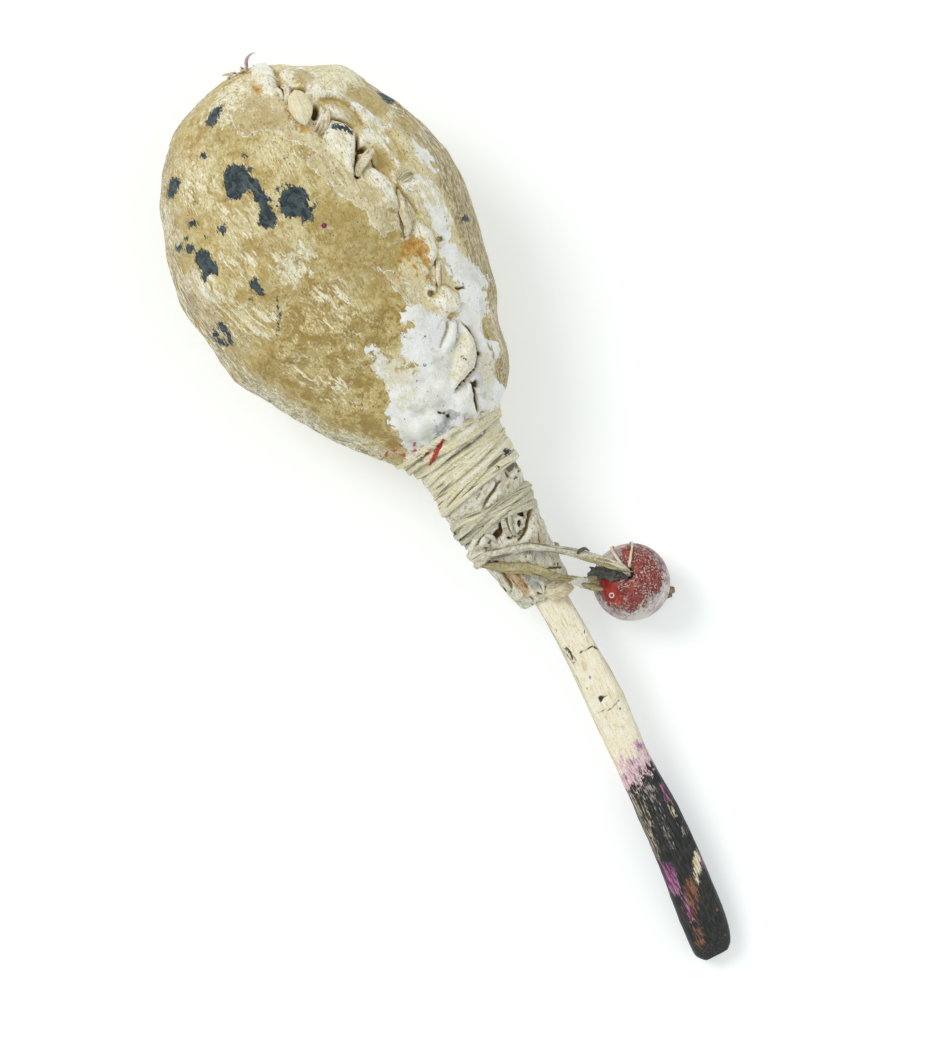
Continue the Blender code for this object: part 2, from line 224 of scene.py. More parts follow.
# ---------------------------------------------------------------- making pieces
def piece(name, points, faces, finish, body, stands_for=(), fields=None):
    """One mesh object that rides on a body, from points in millimetres."""
    mesh = bpy.data.meshes.new(name)
    mesh.from_pydata((np.asarray(points) * MM).tolist(), [], [tuple(f) for f in faces])
    mesh.validate()
    mesh.shade_smooth()
    mesh.materials.append(finish)
    for field, values in (fields or {}).items():
        kept = mesh.attributes.new(field, "FLOAT", "POINT")
        kept.data.foreach_set("value", np.asarray(values, np.float32))
    made = bpy.data.objects.new(name, mesh)
    bpy.context.scene.collection.objects.link(made)
    if isinstance(body, str):
        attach(made, body)
    if stands_for:
        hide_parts(*stands_for)
    return made


def grid_faces(rows, columns, first=0):
    """Quads between rings of points, each ring closed."""
    r, c = np.meshgrid(np.arange(rows - 1), np.arange(columns), indexing="ij")
    after = (c + 1) % columns
    quads = np.stack([r * columns + c, r * columns + after], -1)
    faces = np.concatenate([quads, quads[..., ::-1] + columns], -1)
    return (faces.reshape(-1, 4) + first).tolist()


def tube_faces(rows, columns, closed=False):
    """Quads between closed rings of points, shut into a hoop or capped at both ends."""
    faces = grid_faces(rows, columns)
    last = (rows - 1) * columns
    if closed:
        after = [(k + 1) % columns for k in range(columns)]
        return faces + [(last + k, last + n, n, k) for k, n in enumerate(after)]
    return faces + [tuple(range(columns))[::-1], tuple(range(last, last + columns))]


def frames(line, up, twist):
    """Side and up ways along a line, carried without turning, then twisted by degrees."""
    ahead = np.gradient(line, axis=0)
    ahead /= np.linalg.norm(ahead, axis=1)[:, None]
    ways = []
    way = np.array(up, float)
    for direction in ahead:
        way = way - direction * np.dot(way, direction)
        way /= np.linalg.norm(way)
        ways.append(way)
    ways = np.array(ways)
    sides = np.cross(ahead, ways)
    a = np.radians(np.asarray(twist, float) * np.ones(len(line)))[:, None]
    return np.cos(a) * sides + np.sin(a) * ways, np.cos(a) * ways - np.sin(a) * sides


def strip(line, sides, ups, widths, thicks, points_round=16, closed=False, seed=0, groove=0.1,
          flatness=2.6, groove_size=0.45, bow=0.0):
    """Points, faces and fields of a flat fibrous strip along a line, with grooves along it."""
    line = np.asarray(line, float)
    count = len(line)
    along = np.concatenate([[0], np.cumsum(np.linalg.norm(np.diff(line, axis=0), axis=1))])
    a = np.linspace(0, 2 * math.pi, points_round, endpoint=False)
    c = np.sign(np.cos(a)) * np.abs(np.cos(a)) ** (2 / flatness)
    s = np.sign(np.sin(a)) * np.abs(np.sin(a)) ** (2 / flatness)
    widths = np.asarray(widths, float) * np.ones(count)
    thicks = np.asarray(thicks, float) * np.ones(count)
    across = widths[:, None] / 2 * c[None, :]
    rise = thicks[:, None] / 2 * s[None, :]
    upper = np.where(s[None, :] >= 0, 5.0, -5.0) + 0 * across
    where = np.stack([across, np.broadcast_to(along[:, None], across.shape), upper], -1).reshape(-1, 3)
    grooves = lumps(where, (groove_size, 9, 4), seed, 3).reshape(across.shape)
    if closed:
        fade = eased(np.minimum(along, along[-1] - along) / 6)[:, None]
        grooves = grooves * fade
    rise = rise * (1 + groove * 2.2 * grooves) + groove * grooves * np.sign(s)[None, :]
    across = across * (1 + 0.5 * groove * grooves)
    rise = rise - bow * across**2
    points = line[:, None, :] + across[..., None] * sides[:, None, :] + rise[..., None] * ups[:, None, :]
    faces = tube_faces(count, points_round, closed)
    # relief lightens the raised grooves and darkens the low ones, and rim darkens the edges: painted
    # highlight and shade in the finish.
    rim = np.broadcast_to(np.abs(np.cos(a))[None, :], across.shape)
    fields = {"along": np.repeat(along, points_round), "across": across.ravel(),
        "relief": grooves.ravel(), "rim": rim.ravel()}
    fields.update(unmarked(across.size))
    return points.reshape(-1, 3), faces, fields


def unmarked(count):
    """The painted fields that a fibrous finish asks for, empty."""
    return {name: np.full(count, OUTSIDE) for name in ("red", "black", "white")}


def joined(strips):
    """Several strips as one mesh."""
    points, faces, fields = [], [], {}
    for more_points, more_faces, more_fields in strips:
        first = sum(len(p) for p in points)
        faces += [tuple(first + k for k in face) for face in more_faces]
        points.append(more_points)
        for name, values in more_fields.items():
            fields.setdefault(name, []).append(values)
    return np.concatenate(points), faces, {n: np.concatenate(v) for n, v in fields.items()}


class Relief:
    """Heights and painted fields on the upper side of a surface, laid out in plan."""

    def __init__(self, x, y, weight):
        self.x, self.y, self.weight = x, y, weight
        self.spine = None
        self.height = np.zeros(len(x))
        self.fields = {}

    def near(self, points, margin):
        """Which points of the upper side lie near some points in plan."""
        low, high = np.min(points, axis=0) - margin, np.max(points, axis=0) + margin
        found = (self.x > low[0]) & (self.x < high[0]) & (self.y > low[1]) & (self.y < high[1])
        return np.nonzero(found & (self.weight > 0))[0]

    def field(self, name, empty=OUTSIDE):
        if name not in self.fields:
            self.fields[name] = np.full(len(self.x), empty)
        return self.fields[name]

    def mark(self, name, at, values):
        """Raises a field from 0 where the values are higher."""
        kept = self.field(name, 0.0)
        kept[at] = np.maximum(kept[at], values)

    def fold(self, line, rise, wide, drop, deep, hollow=0.8):
        """An edge: the skin on the line's left stands up, and on its right drops away."""
        at, d, fade = self.near_line(line, max(wide, deep) * 3, 0.18)
        up = rise * np.exp(-np.maximum(d, 0) / wide)
        down = -drop * np.exp(-np.maximum(-d, 0) / deep)
        side = eased(d, -0.22, 0.22)
        self.height[at] += self.weight[at] * fade * (side * up + (1 - side) * down)
        # Painted shade in the drop below the edge, and a painted highlight along the edge that stands up.
        below, above = np.exp(-np.maximum(-d, 0) / (0.35 * deep)), np.exp(-np.maximum(d, 0) / (0.5 * wide))
        self.mark("hollow", at, hollow * fade * (1 - side) * below)
        self.mark("painted_highlight", at, 0.8 * fade * side * above)

    def near_line(self, line, reach, ends):
        """The points near a smooth line, their distances to it, and a fade at its ends."""
        line = through(line, 6 * len(line))
        at = self.near(line, reach)
        d, place = to_line(self.x[at], self.y[at], line)
        return at, d, eased(place, 0, ends) * eased(1 - place, 0, ends)

    def crease(self, line, depth, wide, hollow=1.0):
        """A groove along a line, or a rib where its depth is below 0."""
        at, d, fade = self.near_line(line, wide * 3, 0.15)
        shape = np.exp(-((d / wide) ** 2)) * fade
        self.height[at] -= self.weight[at] * depth * shape
        # A groove gets painted shade, a rib a painted highlight.
        if depth > 0 and hollow:
            self.mark("hollow", at, hollow * shape)
        if depth < 0:
            self.mark("painted_highlight", at, 0.6 * shape)

    def lobe(self, outline, rise, edge, dome=0.0, shade=0.5):
        """A raised patch, steep at its outline. Away from the spine it melts into the skin."""
        outline = through([*outline, outline[0]], 5 * len(outline))[:-1]
        at = self.near(outline, 2)
        x, y = self.x[at], self.y[at]
        place = np.column_stack([x, y, 0 * x])
        d = inside(x, y, outline) + 0.28 * lumps(place, (1.7, 1.7, 9), 81, 2)
        fade = np.ones(len(at))
        if self.spine:
            fade -= 0.85 * eased(np.abs(to_line(x, y, self.spine)[0]), 1.6, 5.4)
        shape = eased(d, -0.15, edge) * rise * (0.25 + 0.75 * fade) + dome * eased(d, -0.1, 2.6)
        # Painted shade in a thin valley round the outline, and a painted highlight over the dome's top.
        valley = np.exp(-(((d + 0.28) / 0.26) ** 2)) * fade**2
        self.height[at] += self.weight[at] * (shape - 0.3 * valley)
        self.mark("hollow", at, shade * valley)
        self.mark("painted_highlight", at, 0.7 * eased(d, 0.1, 1.0) * (0.4 + 0.6 * fade))

    def round_place(self, x, y, reach, degrees):
        """The points near a place, and how far they are from it along a turned cross."""
        at = self.near([(x, y)], reach)
        c, s = math.cos(math.radians(degrees)), math.sin(math.radians(degrees))
        dx, dy = self.x[at] - x, self.y[at] - y
        return at, dx * c + dy * s, dy * c - dx * s

    def pit(self, x, y, radius, depth, long=1.0, turn=0.0, rim=0.0, hollow=1.0):
        """A hole that isn't cut through, `long` times longer than wide."""
        at, u, v = self.round_place(x, y, radius * long * 3, turn)
        d = np.hypot(u / long, v)
        shape = 1 - eased(d, 0.6 * radius, 1.1 * radius)
        self.height[at] -= self.weight[at] * depth * shape
        self.height[at] += self.weight[at] * rim * np.exp(-(((d - 1.3 * radius) / 0.5) ** 2))
        # Painted shade down in the pit.
        self.mark("hollow", at, hollow * shape)

    def bump(self, x, y, wide, tall, height, turn=0.0):
        """A soft swelling, or a dent where its height is below 0."""
        at, u, v = self.round_place(x, y, 3 * max(wide, tall), turn)
        shape = np.exp(-((u / wide) ** 2 + (v / tall) ** 2))
        self.height[at] += self.weight[at] * height * shape

    def area(self, name, *outlines):
        """Marks inside smooth closed outlines."""
        kept = self.field(name)
        for outline in outlines:
            outline = through([*outline, outline[0]], 4 * len(outline))[:-1]
            depth = inside(self.x, self.y, outline)
            kept[:] = np.maximum(kept, np.clip(depth, OUTSIDE, -OUTSIDE))

    def paint_top(self, name, depth):
        kept = self.field(name)
        depth = np.where(self.weight > 0.5, np.clip(depth, OUTSIDE, -OUTSIDE), OUTSIDE)
        kept[:] = np.maximum(kept, depth)

    def dots(self, name, *dots):
        """Round marks: x, y and radius."""
        for x, y, radius in dots:
            self.paint_top(name, radius - np.hypot(self.x - x, self.y - y))

    def strokes(self, name, *strokes):
        """Marks along lines, thinner towards both ends: half the width, and the line."""
        for half, line in strokes:
            d, place = to_line(self.x, self.y, line)
            self.paint_top(name, half * np.sqrt(np.clip(4 * place * (1 - place), 0.02, 1)) - np.abs(d))

    def topside(self, *names):
        """Lets marks fade where the surface turns down."""
        fade = 6 * (1 - eased(self.weight, 0.15, 0.85))
        for name in names:
            self.fields[name] = np.maximum(self.field(name) - fade, OUTSIDE)


# ---------------------------------------------------------------- finishes
class Paint:
    """One procedural finish, built node by node. Sizes are in millimetres."""

    def __init__(self, name):
        self.material = bpy.data.materials.new(name)
        self.material.use_nodes = True
        self.tree = self.material.node_tree
        self.shader = self.tree.nodes["Principled BSDF"]
        self.place = self.node("TexCoord").outputs["Object"]

    def node(self, kind, inputs=None, **settings):
        made = self.tree.nodes.new("ShaderNode" + kind)
        for key, value in settings.items():
            setattr(made, key, value)
        for key, value in (inputs or {}).items():
            if isinstance(value, bpy.types.NodeSocket):
                self.tree.links.new(value, made.inputs[key])
            else:
                made.inputs[key].default_value = value
        return made

    def field(self, name):
        """A field that the mesh carries."""
        return self.node("Attribute", attribute_name=name).outputs["Fac"]

    def strand_place(self):
        """Across and along a strip, in millimetres, moved by where it is, as a place for noise."""
        made = self.node("CombineXYZ", {"X": self.field("across"), "Y": self.field("along")})
        scaled = self.node("VectorMath", {0: made.outputs[0], 3: MM}, operation="SCALE")
        return self.node("VectorMath", {0: scaled.outputs[0], 1: self.place}, operation="ADD").outputs[0]

    def scaled(self, size, source=None):
        """The place, or another one, measured in pieces of this size: one size or three."""
        sizes = size if isinstance(size, tuple) else (size, size, size)
        scale = [1 / (s * MM) for s in sizes]
        return self.node("Mapping", {"Vector": source or self.place, "Scale": scale}).outputs[0]

    def noise(self, size, detail=3.0, rough=0.6, warp=0.0, source=None):
        inputs = {"Vector": self.scaled(size, source), "Scale": 1.0, "Detail": detail,
            "Roughness": rough, "Distortion": warp}
        return self.node("TexNoise", inputs).outputs[0]

    def fray(self, size, detail=5.0, rough=0.75, warp=0.5, low=0.32, high=0.68, source=None):
        """Noise stretched over the whole of 0 to 1, for ragged edges."""
        return self.step(self.noise(size, detail, rough, warp, source), low, high)

    def times(self, *values):
        """All the values multiplied."""
        total = values[0]
        for value in values[1:]:
            total = self.math("MULTIPLY", total, value)
        return total

    def turned(self, degrees):
        """The place turned about the upright axis, for marks that run at an angle."""
        return self.node("VectorRotate", {"Vector": self.place, "Angle": math.radians(degrees)},
            rotation_type="Z_AXIS").outputs[0]

    def shade(self, colour, factor):
        """The colour made darker below 1 and lighter above it."""
        return self.node("VectorMath", {0: colour, 3: factor}, operation="SCALE").outputs[0]

    def cells(self, size):
        """How far the nearest of many scattered points is."""
        inputs = {"Vector": self.scaled(size), "Scale": 1.0}
        return self.node("TexVoronoi", inputs).outputs["Distance"]

    def math(self, operation, a, b=0.0, c=0.0):
        return self.node("Math", {0: a, 1: b, 2: c}, operation=operation).outputs[0]

    def scale_add(self, value, factor, added):
        return self.math("MULTIPLY_ADD", value, factor, added)

    def unlike(self, value):
        """1 where the value is 0, and the other way round."""
        return self.math("SUBTRACT", 1.0, value)

    def cracks(self, source):
        """Near 0 along the lines where a noise crosses its middle."""
        return self.math("ABSOLUTE", self.math("SUBTRACT", source, 0.5))

    def step(self, value, low, high):
        """0 where the value is at one end, 1 at the other, and smooth between."""
        inputs = {"Value": value, "From Min": low, "From Max": high}
        made = self.node("MapRange", inputs, interpolation_type="SMOOTHSTEP", clamp=True)
        return made.outputs[0]

    def layers(self, colour, *coats):
        """Tints laid one over another. After its tint, a coat names what lets it through: a share,
        a mask, or a noise with the value where it starts and the value where it is full.
        """
        for tint, *shares in coats:
            masks = [self.step(*share) if isinstance(share, tuple) else share for share in shares]
            colour = self.mix(colour, tint, self.times(*masks))
        return colour

    def mix(self, below, above, share):
        inputs = {0: share}
        for key, value in ((6, below), (7, above)):
            inputs[key] = value if isinstance(value, bpy.types.NodeSocket) else (*value, 1.0)
        return self.node("Mix", inputs, data_type="RGBA").outputs[2]

    def blend(self, below, above, share):
        """Between two plain values."""
        return self.node("Mix", {0: share, 2: below, 3: above}, data_type="FLOAT").outputs[0]

    def ragged(self, name, fray, amount, soft=0.12, offset=0.0):
        """A field's painted area with a frayed edge. fray is a noise, amount in mm."""
        shift = self.scale_add(fray, 2 * amount, offset - amount)
        return self.step(self.math("ADD", self.field(name), shift), -soft, soft)

    def finish(self, colour, roughness, height=None, depth=0.1, **constants):
        """The material, with a bump from a height and a depth in millimetres."""
        for key, value in (("Base Color", colour), ("Roughness", roughness)):
            if isinstance(value, bpy.types.NodeSocket):
                self.tree.links.new(value, self.shader.inputs[key])
            else:
                self.shader.inputs[key].default_value = value
        for key, value in constants.items():
            self.shader.inputs[key.replace("_", " ")].default_value = value
        if height is not None:
            bump = self.node("Bump", {"Height": height, "Distance": depth * MM, "Strength": 1.0})
            self.tree.links.new(bump.outputs[0], self.shader.inputs["Normal"])
        return self.material


def skin_finish():
    """Rawhide: tan and fibrous, with a glazed patch, torn pale layer, chalk and paint."""
    p = Paint("rawhide")
    broad = p.noise(15, 4, 0.6)
    mottle = p.noise(4.8, 6, 0.7, 0.8)
    small = p.noise(1.8, 5, 0.72, 0.5)
    fine = p.noise(0.62, 4, 0.8)
    fibre = p.noise((0.42, 3.4, 0.42), 4, 0.66, 0.5)
    long_fibre = p.noise((0.9, 9.5, 0.9), 5, 0.68, 1.4)
    strokes = p.noise((1.05, 7.0, 1.2), 4, 0.55, 0.45, p.turned(-17))
    tatter = p.fray((2.6, 4.6, 2.6), 6, 0.72, 0.9)
    torn = p.fray((2.2, 3.0, 2.2), 4, 0.62, 0.5)
    ridge = p.math("ADD", p.field("ridge"), p.scale_add(small, 0.16, -0.08))
    raised = p.math("ADD", p.field("raised"), p.scale_add(mottle, 1.2, -0.6))

    # The tan hide: brown along its fibres, cream where it is rubbed, and darker clouds.
    colour = p.layers(
        (0.475, 0.345, 0.105),
        ((0.65, 0.545, 0.255), (mottle, 0.36, 0.62)),
        ((0.72, 0.635, 0.37), (broad, 0.48, 0.62), (mottle, 0.30, 0.55), 0.8),
        ((0.37, 0.25, 0.075), (long_fibre, 0.52, 0.66), 0.6),
        ((0.37, 0.245, 0.07), (small, 0.52, 0.62), (mottle, 0.62, 0.44), 0.85),
        ((0.82, 0.76, 0.54), (fibre, 0.56, 0.66), (broad, 0.42, 0.58), 0.8),
    )
    cloud = p.ragged("cloud", p.fray(5, 5, 0.7, 0.8), 3.0, 2.2)
    colour = p.layers(colour, ((0.40, 0.29, 0.095), cloud, (small, 0.34, 0.58), 0.7))
    rubbed = p.ragged("cream", tatter, 2.6, 1.8)
    colour = p.layers(
        colour,
        ((0.75, 0.67, 0.40), rubbed, (mottle, 0.38, 0.56), 0.6),
        ((0.90, 0.86, 0.68), rubbed, (long_fibre, 0.54, 0.60), 0.8),
        ((0.36, 0.235, 0.075), rubbed, (fibre, 0.45, 0.39), 0.7),
    )
    bleached = p.ragged("bleach", tatter, 2.6, 1.2)
    colour = p.layers(
        colour,
        ((0.80, 0.745, 0.52), bleached, (mottle, 0.36, 0.50), 0.85),
        ((0.90, 0.87, 0.75), bleached, (long_fibre, 0.50, 0.56), 0.85),
    )
    rust = p.times(p.ragged("rust", tatter, 2.5, 2.2), p.step(small, 0.40, 0.60), 0.75)
    colour = p.layers(colour, ((0.44, 0.235, 0.06), rust))
    # Where the hide turns down to its sides: dark brown mottles and specks there are painted shade, the
    # white streaks are the weathered hide's own.
    shaded_flank = p.field("shaded_flank")
    colour = p.layers(
        colour,
        ((0.24, 0.17, 0.066), shaded_flank, (mottle, 0.46, 0.54), 0.85),
        ((0.91, 0.88, 0.74), shaded_flank, (long_fibre, 0.51, 0.56), 0.9),
        ((0.17, 0.12, 0.055), shaded_flank, (fine, 0.56, 0.66), 0.75),
    )

    # The glazed patch, with a darker heart and flecks scratched out of it.
    glaze = p.ragged("glaze", torn, 0.8, 0.08)
    glaze_colour = p.layers(
        (0.37, 0.255, 0.07),
        ((0.59, 0.47, 0.19), (mottle, 0.40, 0.60)),
        ((0.27, 0.18, 0.045), (small, 0.52, 0.61), 0.85),
    )
    flecks = p.times(p.step(p.noise((0.6, 1.3, 0.6), 4, 0.7, 0.5), 0.53, 0.58),
        p.step(mottle, 0.43, 0.53), p.step(broad, 0.42, 0.54))
    glaze_colour = p.layers(glaze_colour, ((0.80, 0.73, 0.47), flecks, 0.9))
    colour = p.layers(colour, (glaze_colour, glaze, 0.92))

    brown = p.ragged("brown", tatter, 1.6, 0.5)
    brown_colour = p.layers(
        (0.72, 0.655, 0.45),
        ((0.33, 0.235, 0.09), (p.noise((0.9, 3.4, 0.9), 6, 0.72, 0.8), 0.42, 0.56)),
        ((0.09, 0.06, 0.03), (fine, 0.55, 0.60), 0.85),
    )
    colour = p.layers(colour, (brown_colour, brown, 0.9))

    # The seam: tan hide, cream and yellow where it is puffed up and white along its ridges as painted
    # highlight, and tan in its low places as painted shade, with mottles and fibres of its own.
    seam_area = p.ragged("seamed", tatter, 1.6, 0.8)
    seam_colour = p.layers(
        (0.56, 0.43, 0.16),
        ((0.80, 0.735, 0.49), (raised, -0.9, 0.5)),
        ((0.65, 0.52, 0.21), (mottle, 0.52, 0.62), 0.75),
        ((0.44, 0.31, 0.09), (long_fibre, 0.56, 0.66), 0.6),
        ((0.90, 0.87, 0.73), (ridge, 0.02, 0.24), 0.9),
        ((0.88, 0.86, 0.76), (fibre, 0.54, 0.62), (raised, -0.1, 0.9), 0.8),
    )
    colour = p.layers(colour, (seam_colour, seam_area))
    # Tan patches, which in the seam's pockets also stand in for painted shade.
    tan = p.ragged("tan", tatter, 1.3, 0.9)
    tan_colour = p.layers((0.56, 0.44, 0.185), ((0.40, 0.285, 0.10), (small, 0.42, 0.60)))
    colour = p.layers(colour, (tan_colour, tan, 0.8))

    # The pale translucent layer with a torn edge.
    pale = p.ragged("pale", torn, 0.55, 0.05)
    pale_colour = p.layers(
        (0.59, 0.495, 0.26),
        ((0.77, 0.70, 0.465), (mottle, 0.40, 0.60)),
        ((0.82, 0.78, 0.61), (small, 0.52, 0.64), 0.6),
        ((0.50, 0.385, 0.16), (fine, 0.58, 0.70), 0.5),
        ((0.46, 0.345, 0.135), (broad, 0.50, 0.60), (mottle, 0.40, 0.58), 0.6),
    )
    colour = p.layers(
        colour,
        (pale_colour, pale, 0.88),
        ((0.47, 0.345, 0.13), cloud, pale, (mottle, 0.34, 0.58), 0.55),
    )
    pale_rim = p.math("SUBTRACT", pale, p.ragged("pale", torn, 0.55, 0.16, -0.34))
    colour = p.layers(colour, ((0.87, 0.83, 0.68), pale_rim, 0.75))

    scuffed = p.ragged("hatch", tatter, 2.2, 1.4)
    colour = p.layers(
        colour,
        ((0.87, 0.82, 0.615), scuffed, (strokes, 0.535, 0.575), 0.92),
        ((0.77, 0.69, 0.44), scuffed, (long_fibre, 0.50, 0.60), 0.5),
        ((0.40, 0.29, 0.10), scuffed, (strokes, 0.44, 0.39), 0.6),
    )

    # Creases darker brown, as painted shade mixed with grime, and a painted highlight in cream along raised
    # edges and over lobe tops.
    shade_and_dirt = p.step(ridge, -0.12, -0.55)
    colour = p.layers(colour, ((0.40, 0.27, 0.085), shade_and_dirt, 0.75))
    painted_highlight = p.times(p.field("painted_highlight"), p.step(small, 0.36, 0.56))
    colour = p.layers(colour, ((0.86, 0.82, 0.67), painted_highlight, 0.75))

    # Chalk over the lower seam, and the bare wrinkled skin of the neck.
    # The chalk is greyer where the relief is low and in creases, as painted shade, and creamier and whiter
    # on raised edges and ridges, as painted highlight.
    gesso = p.ragged("gesso", torn, 0.9, 0.06)
    gesso_colour = p.layers(
        (0.93, 0.93, 0.89),
        ((0.80, 0.79, 0.70), (broad, 0.44, 0.62)),
        ((0.70, 0.665, 0.50), (mottle, 0.56, 0.66), 0.7),
        ((0.58, 0.595, 0.585), (broad, 0.50, 0.62), (mottle, 0.44, 0.60), 0.55),
        ((0.66, 0.655, 0.59), (raised, 0.0, -0.9), 0.6),
        ((0.84, 0.80, 0.62), p.field("painted_highlight"), 0.6),
        ((0.58, 0.54, 0.40), (ridge, -0.12, -0.55), 0.7),
        ((0.93, 0.93, 0.90), (ridge, 0.06, 0.30), 0.7),
    )
    tinge = p.ragged("tinge", torn, 1.2, 1.0)
    gesso_colour = p.layers(
        gesso_colour,
        ((0.74, 0.66, 0.39), tinge, (fibre, 0.40, 0.56), 0.75),
        ((0.52, 0.41, 0.17), tinge, (small, 0.54, 0.62), 0.6),
        ((0.12, 0.10, 0.08), (small, 0.66, 0.70), 0.85),
    )
    hair = p.cracks(p.noise((1.6, 12.0, 1.6), 3, 0.5, 0.4))
    gesso_colour = p.layers(
        gesso_colour,
        ((0.34, 0.31, 0.22), (hair, 0.012, 0.003), (mottle, 0.52, 0.60), 0.4),
    )
    colour = p.layers(colour, (gesso_colour, gesso))
    # The bare skin is lighter along its ridges, as painted highlight, and near black in its creases, as
    # painted shade.
    bare = p.field("bare")
    bare_colour = p.layers(
        (0.76, 0.73, 0.59),
        ((0.50, 0.46, 0.32), (small, 0.46, 0.62)),
        ((0.56, 0.46, 0.28), (mottle, 0.54, 0.64), 0.7),
        ((0.84, 0.82, 0.72), (ridge, 0.05, 0.26), 0.8),
        ((0.12, 0.095, 0.055), (ridge, -0.08, -0.22), 0.88),
        ((0.13, 0.11, 0.075), (fine, 0.59, 0.66), 0.8),
    )
    colour = p.layers(colour, (bare_colour, bare))
    inner = p.ragged("inner", torn, 0.6, 0.3)
    inner_colour = p.layers((0.62, 0.42, 0.20), ((0.30, 0.18, 0.07), (fibre, 0.44, 0.60)))
    colour = p.layers(colour, (inner_colour, inner, 0.85))
    bluish = p.ragged("bluish", tatter, 0.8, 0.5)
    bluish_colour = p.layers((0.50, 0.515, 0.50), ((0.22, 0.21, 0.18), (small, 0.44, 0.62)))
    colour = p.layers(colour, (bluish_colour, bluish, 0.8))

    orange = p.ragged("orange", torn, 1.0, 0.5)
    colour = p.layers(
        colour,
        ((0.56, 0.34, 0.06), orange, (small, 0.40, 0.54), 0.85),
        ((0.47, 0.185, 0.006), p.ragged("orange", torn, 1.6, 0.4, -0.7), (small, 0.56, 0.44), 0.85),
    )

    # Painted shade: brown, then near black, in the folds' drops, the grooves, the pits and the valleys round
    # lobes.
    hollow = p.math("ADD", p.field("hollow"), p.scale_add(small, 0.3, -0.15))
    colour = p.layers(
        colour,
        ((0.37, 0.235, 0.07), (hollow, 0.26, 0.60), 0.75),
        ((0.045, 0.022, 0.010), (hollow, 0.44, 0.70), 0.94),
    )

    red = p.ragged("red", torn, 0.3, 0.15)
    colour = p.layers(colour, ((0.46, 0.075, 0.04), red, 0.9))
    specks = p.times(p.step(p.cells(2.0), 0.14, 0.08), p.step(mottle, 0.46, 0.52))
    colour = p.layers(
        colour,
        ((0.09, 0.065, 0.04), specks, 0.85),
        ((0.20, 0.03, 0.09), p.ragged("purple", torn, 0.1, 0.1)),
    )
    veins = p.cracks(p.noise((1.8, 10.0, 1.8), 4, 0.55, 0.5))
    veins = p.times(p.step(veins, 0.020, 0.004), p.step(small, 0.40, 0.52), p.unlike(gesso))
    colour = p.layers(colour, ((0.26, 0.175, 0.065), veins, 0.75))
    grain = p.scale_add(fine, 1.25, p.scale_add(small, 0.6, 0.09))
    colour = p.shade(colour, p.blend(grain, 0.97, p.times(gesso, 0.6)))

    # Black paint, solid in the middle and dragged out in streaks at its edges.
    brush = p.fray((0.7, 1.6, 0.7), 5, 0.66, 0.5)
    black = p.ragged("black", brush, 0.62, 0.06)
    black = p.times(black, p.unlike(p.times(p.step(fine, 0.70, 0.78), 0.6)))
    black_colour = p.layers(
        (0.022, 0.033, 0.037),
        ((0.074, 0.098, 0.105), (small, 0.40, 0.60)),
        ((0.16, 0.19, 0.19), (strokes, 0.58, 0.64), 0.5),
    )
    colour = p.layers(colour, (black_colour, black))

    matt = p.blend(0.60, 0.36, glaze)
    matt = p.blend(matt, 0.80, gesso)
    matt = p.blend(matt, 0.60, black)
    matt = p.math("ADD", matt, p.scale_add(fine, 0.24, -0.12))

    height = p.scale_add(fibre, 0.6, p.math("MULTIPLY", fine, 0.7))
    height = p.scale_add(long_fibre, 0.6, height)
    height = p.scale_add(small, 0.7, height)
    height = p.scale_add(pale, 0.45, height)
    height = p.scale_add(gesso, 0.22, height)
    return p.finish(colour, matt, height, 0.26, Specular_IOR_Level=0.22)


def fibre_finish(name, dark, light, shade, streak_size=(0.24, 7.0, 0.24), stain=None, roughness=0.75,
                 shade_and_dirt=(0.13, 0.115, 0.08), marked=()):
    """Sinew or hide strips: streaks along the strip, dark threads, painted shade in the grooves and along
    the edges, and a painted highlight on the raised fibres.
    """
    p = Paint(name)
    place = p.strand_place()
    streak = p.noise(streak_size, 5, 0.68, 0.3, place)
    thread = p.noise((0.13, 5.0, 0.13), 3, 0.6, 0.2, place)
    broad = p.noise((1.3, 10.0, 1.3), 3, 0.6, 0.5, place)
    small = p.noise(1.5, 4, 0.7)
    fine = p.noise(0.42, 4, 0.75)
    colour = p.layers(
        dark,
        (light, (streak, 0.38, 0.62)),
        (shade, (broad, 0.48, 0.66), 0.75),
    )
    if stain:
        colour = p.layers(colour, (stain, (small, 0.52, 0.64), 0.65))
    # A painted highlight on the raised fibres, lighter threads, painted shade in the grooves and along the
    # strips' edges, and darker threads.
    bright = tuple(min(1.22 * v + 0.03, 0.9) for v in light)
    colour = p.layers(
        colour,
        (bright, (p.field("relief"), 0.15, 0.8), 0.6),
        (bright, (thread, 0.56, 0.66), 0.5),
        (shade_and_dirt, (p.field("relief"), -0.30, -0.85), 0.85),
        (shade_and_dirt, (thread, 0.40, 0.30), 0.6),
        (shade_and_dirt, (p.field("rim"), 0.86, 0.99), (small, 0.36, 0.60), 0.7),
        ((0.09, 0.08, 0.06), (fine, 0.68, 0.74), 0.7),
    )
    for mark, tint in marked:
        colour = p.layers(colour, (tint, p.ragged(mark, p.fray(0.8), 0.5, 0.1)))
    colour = p.shade(colour, p.scale_add(fine, 0.5, 0.76))
    height = p.scale_add(streak, 1.0, p.math("MULTIPLY", fine, 0.35))
    height = p.scale_add(thread, 0.5, height)
    return p.finish(colour, roughness, height, 0.2, Specular_IOR_Level=0.22)


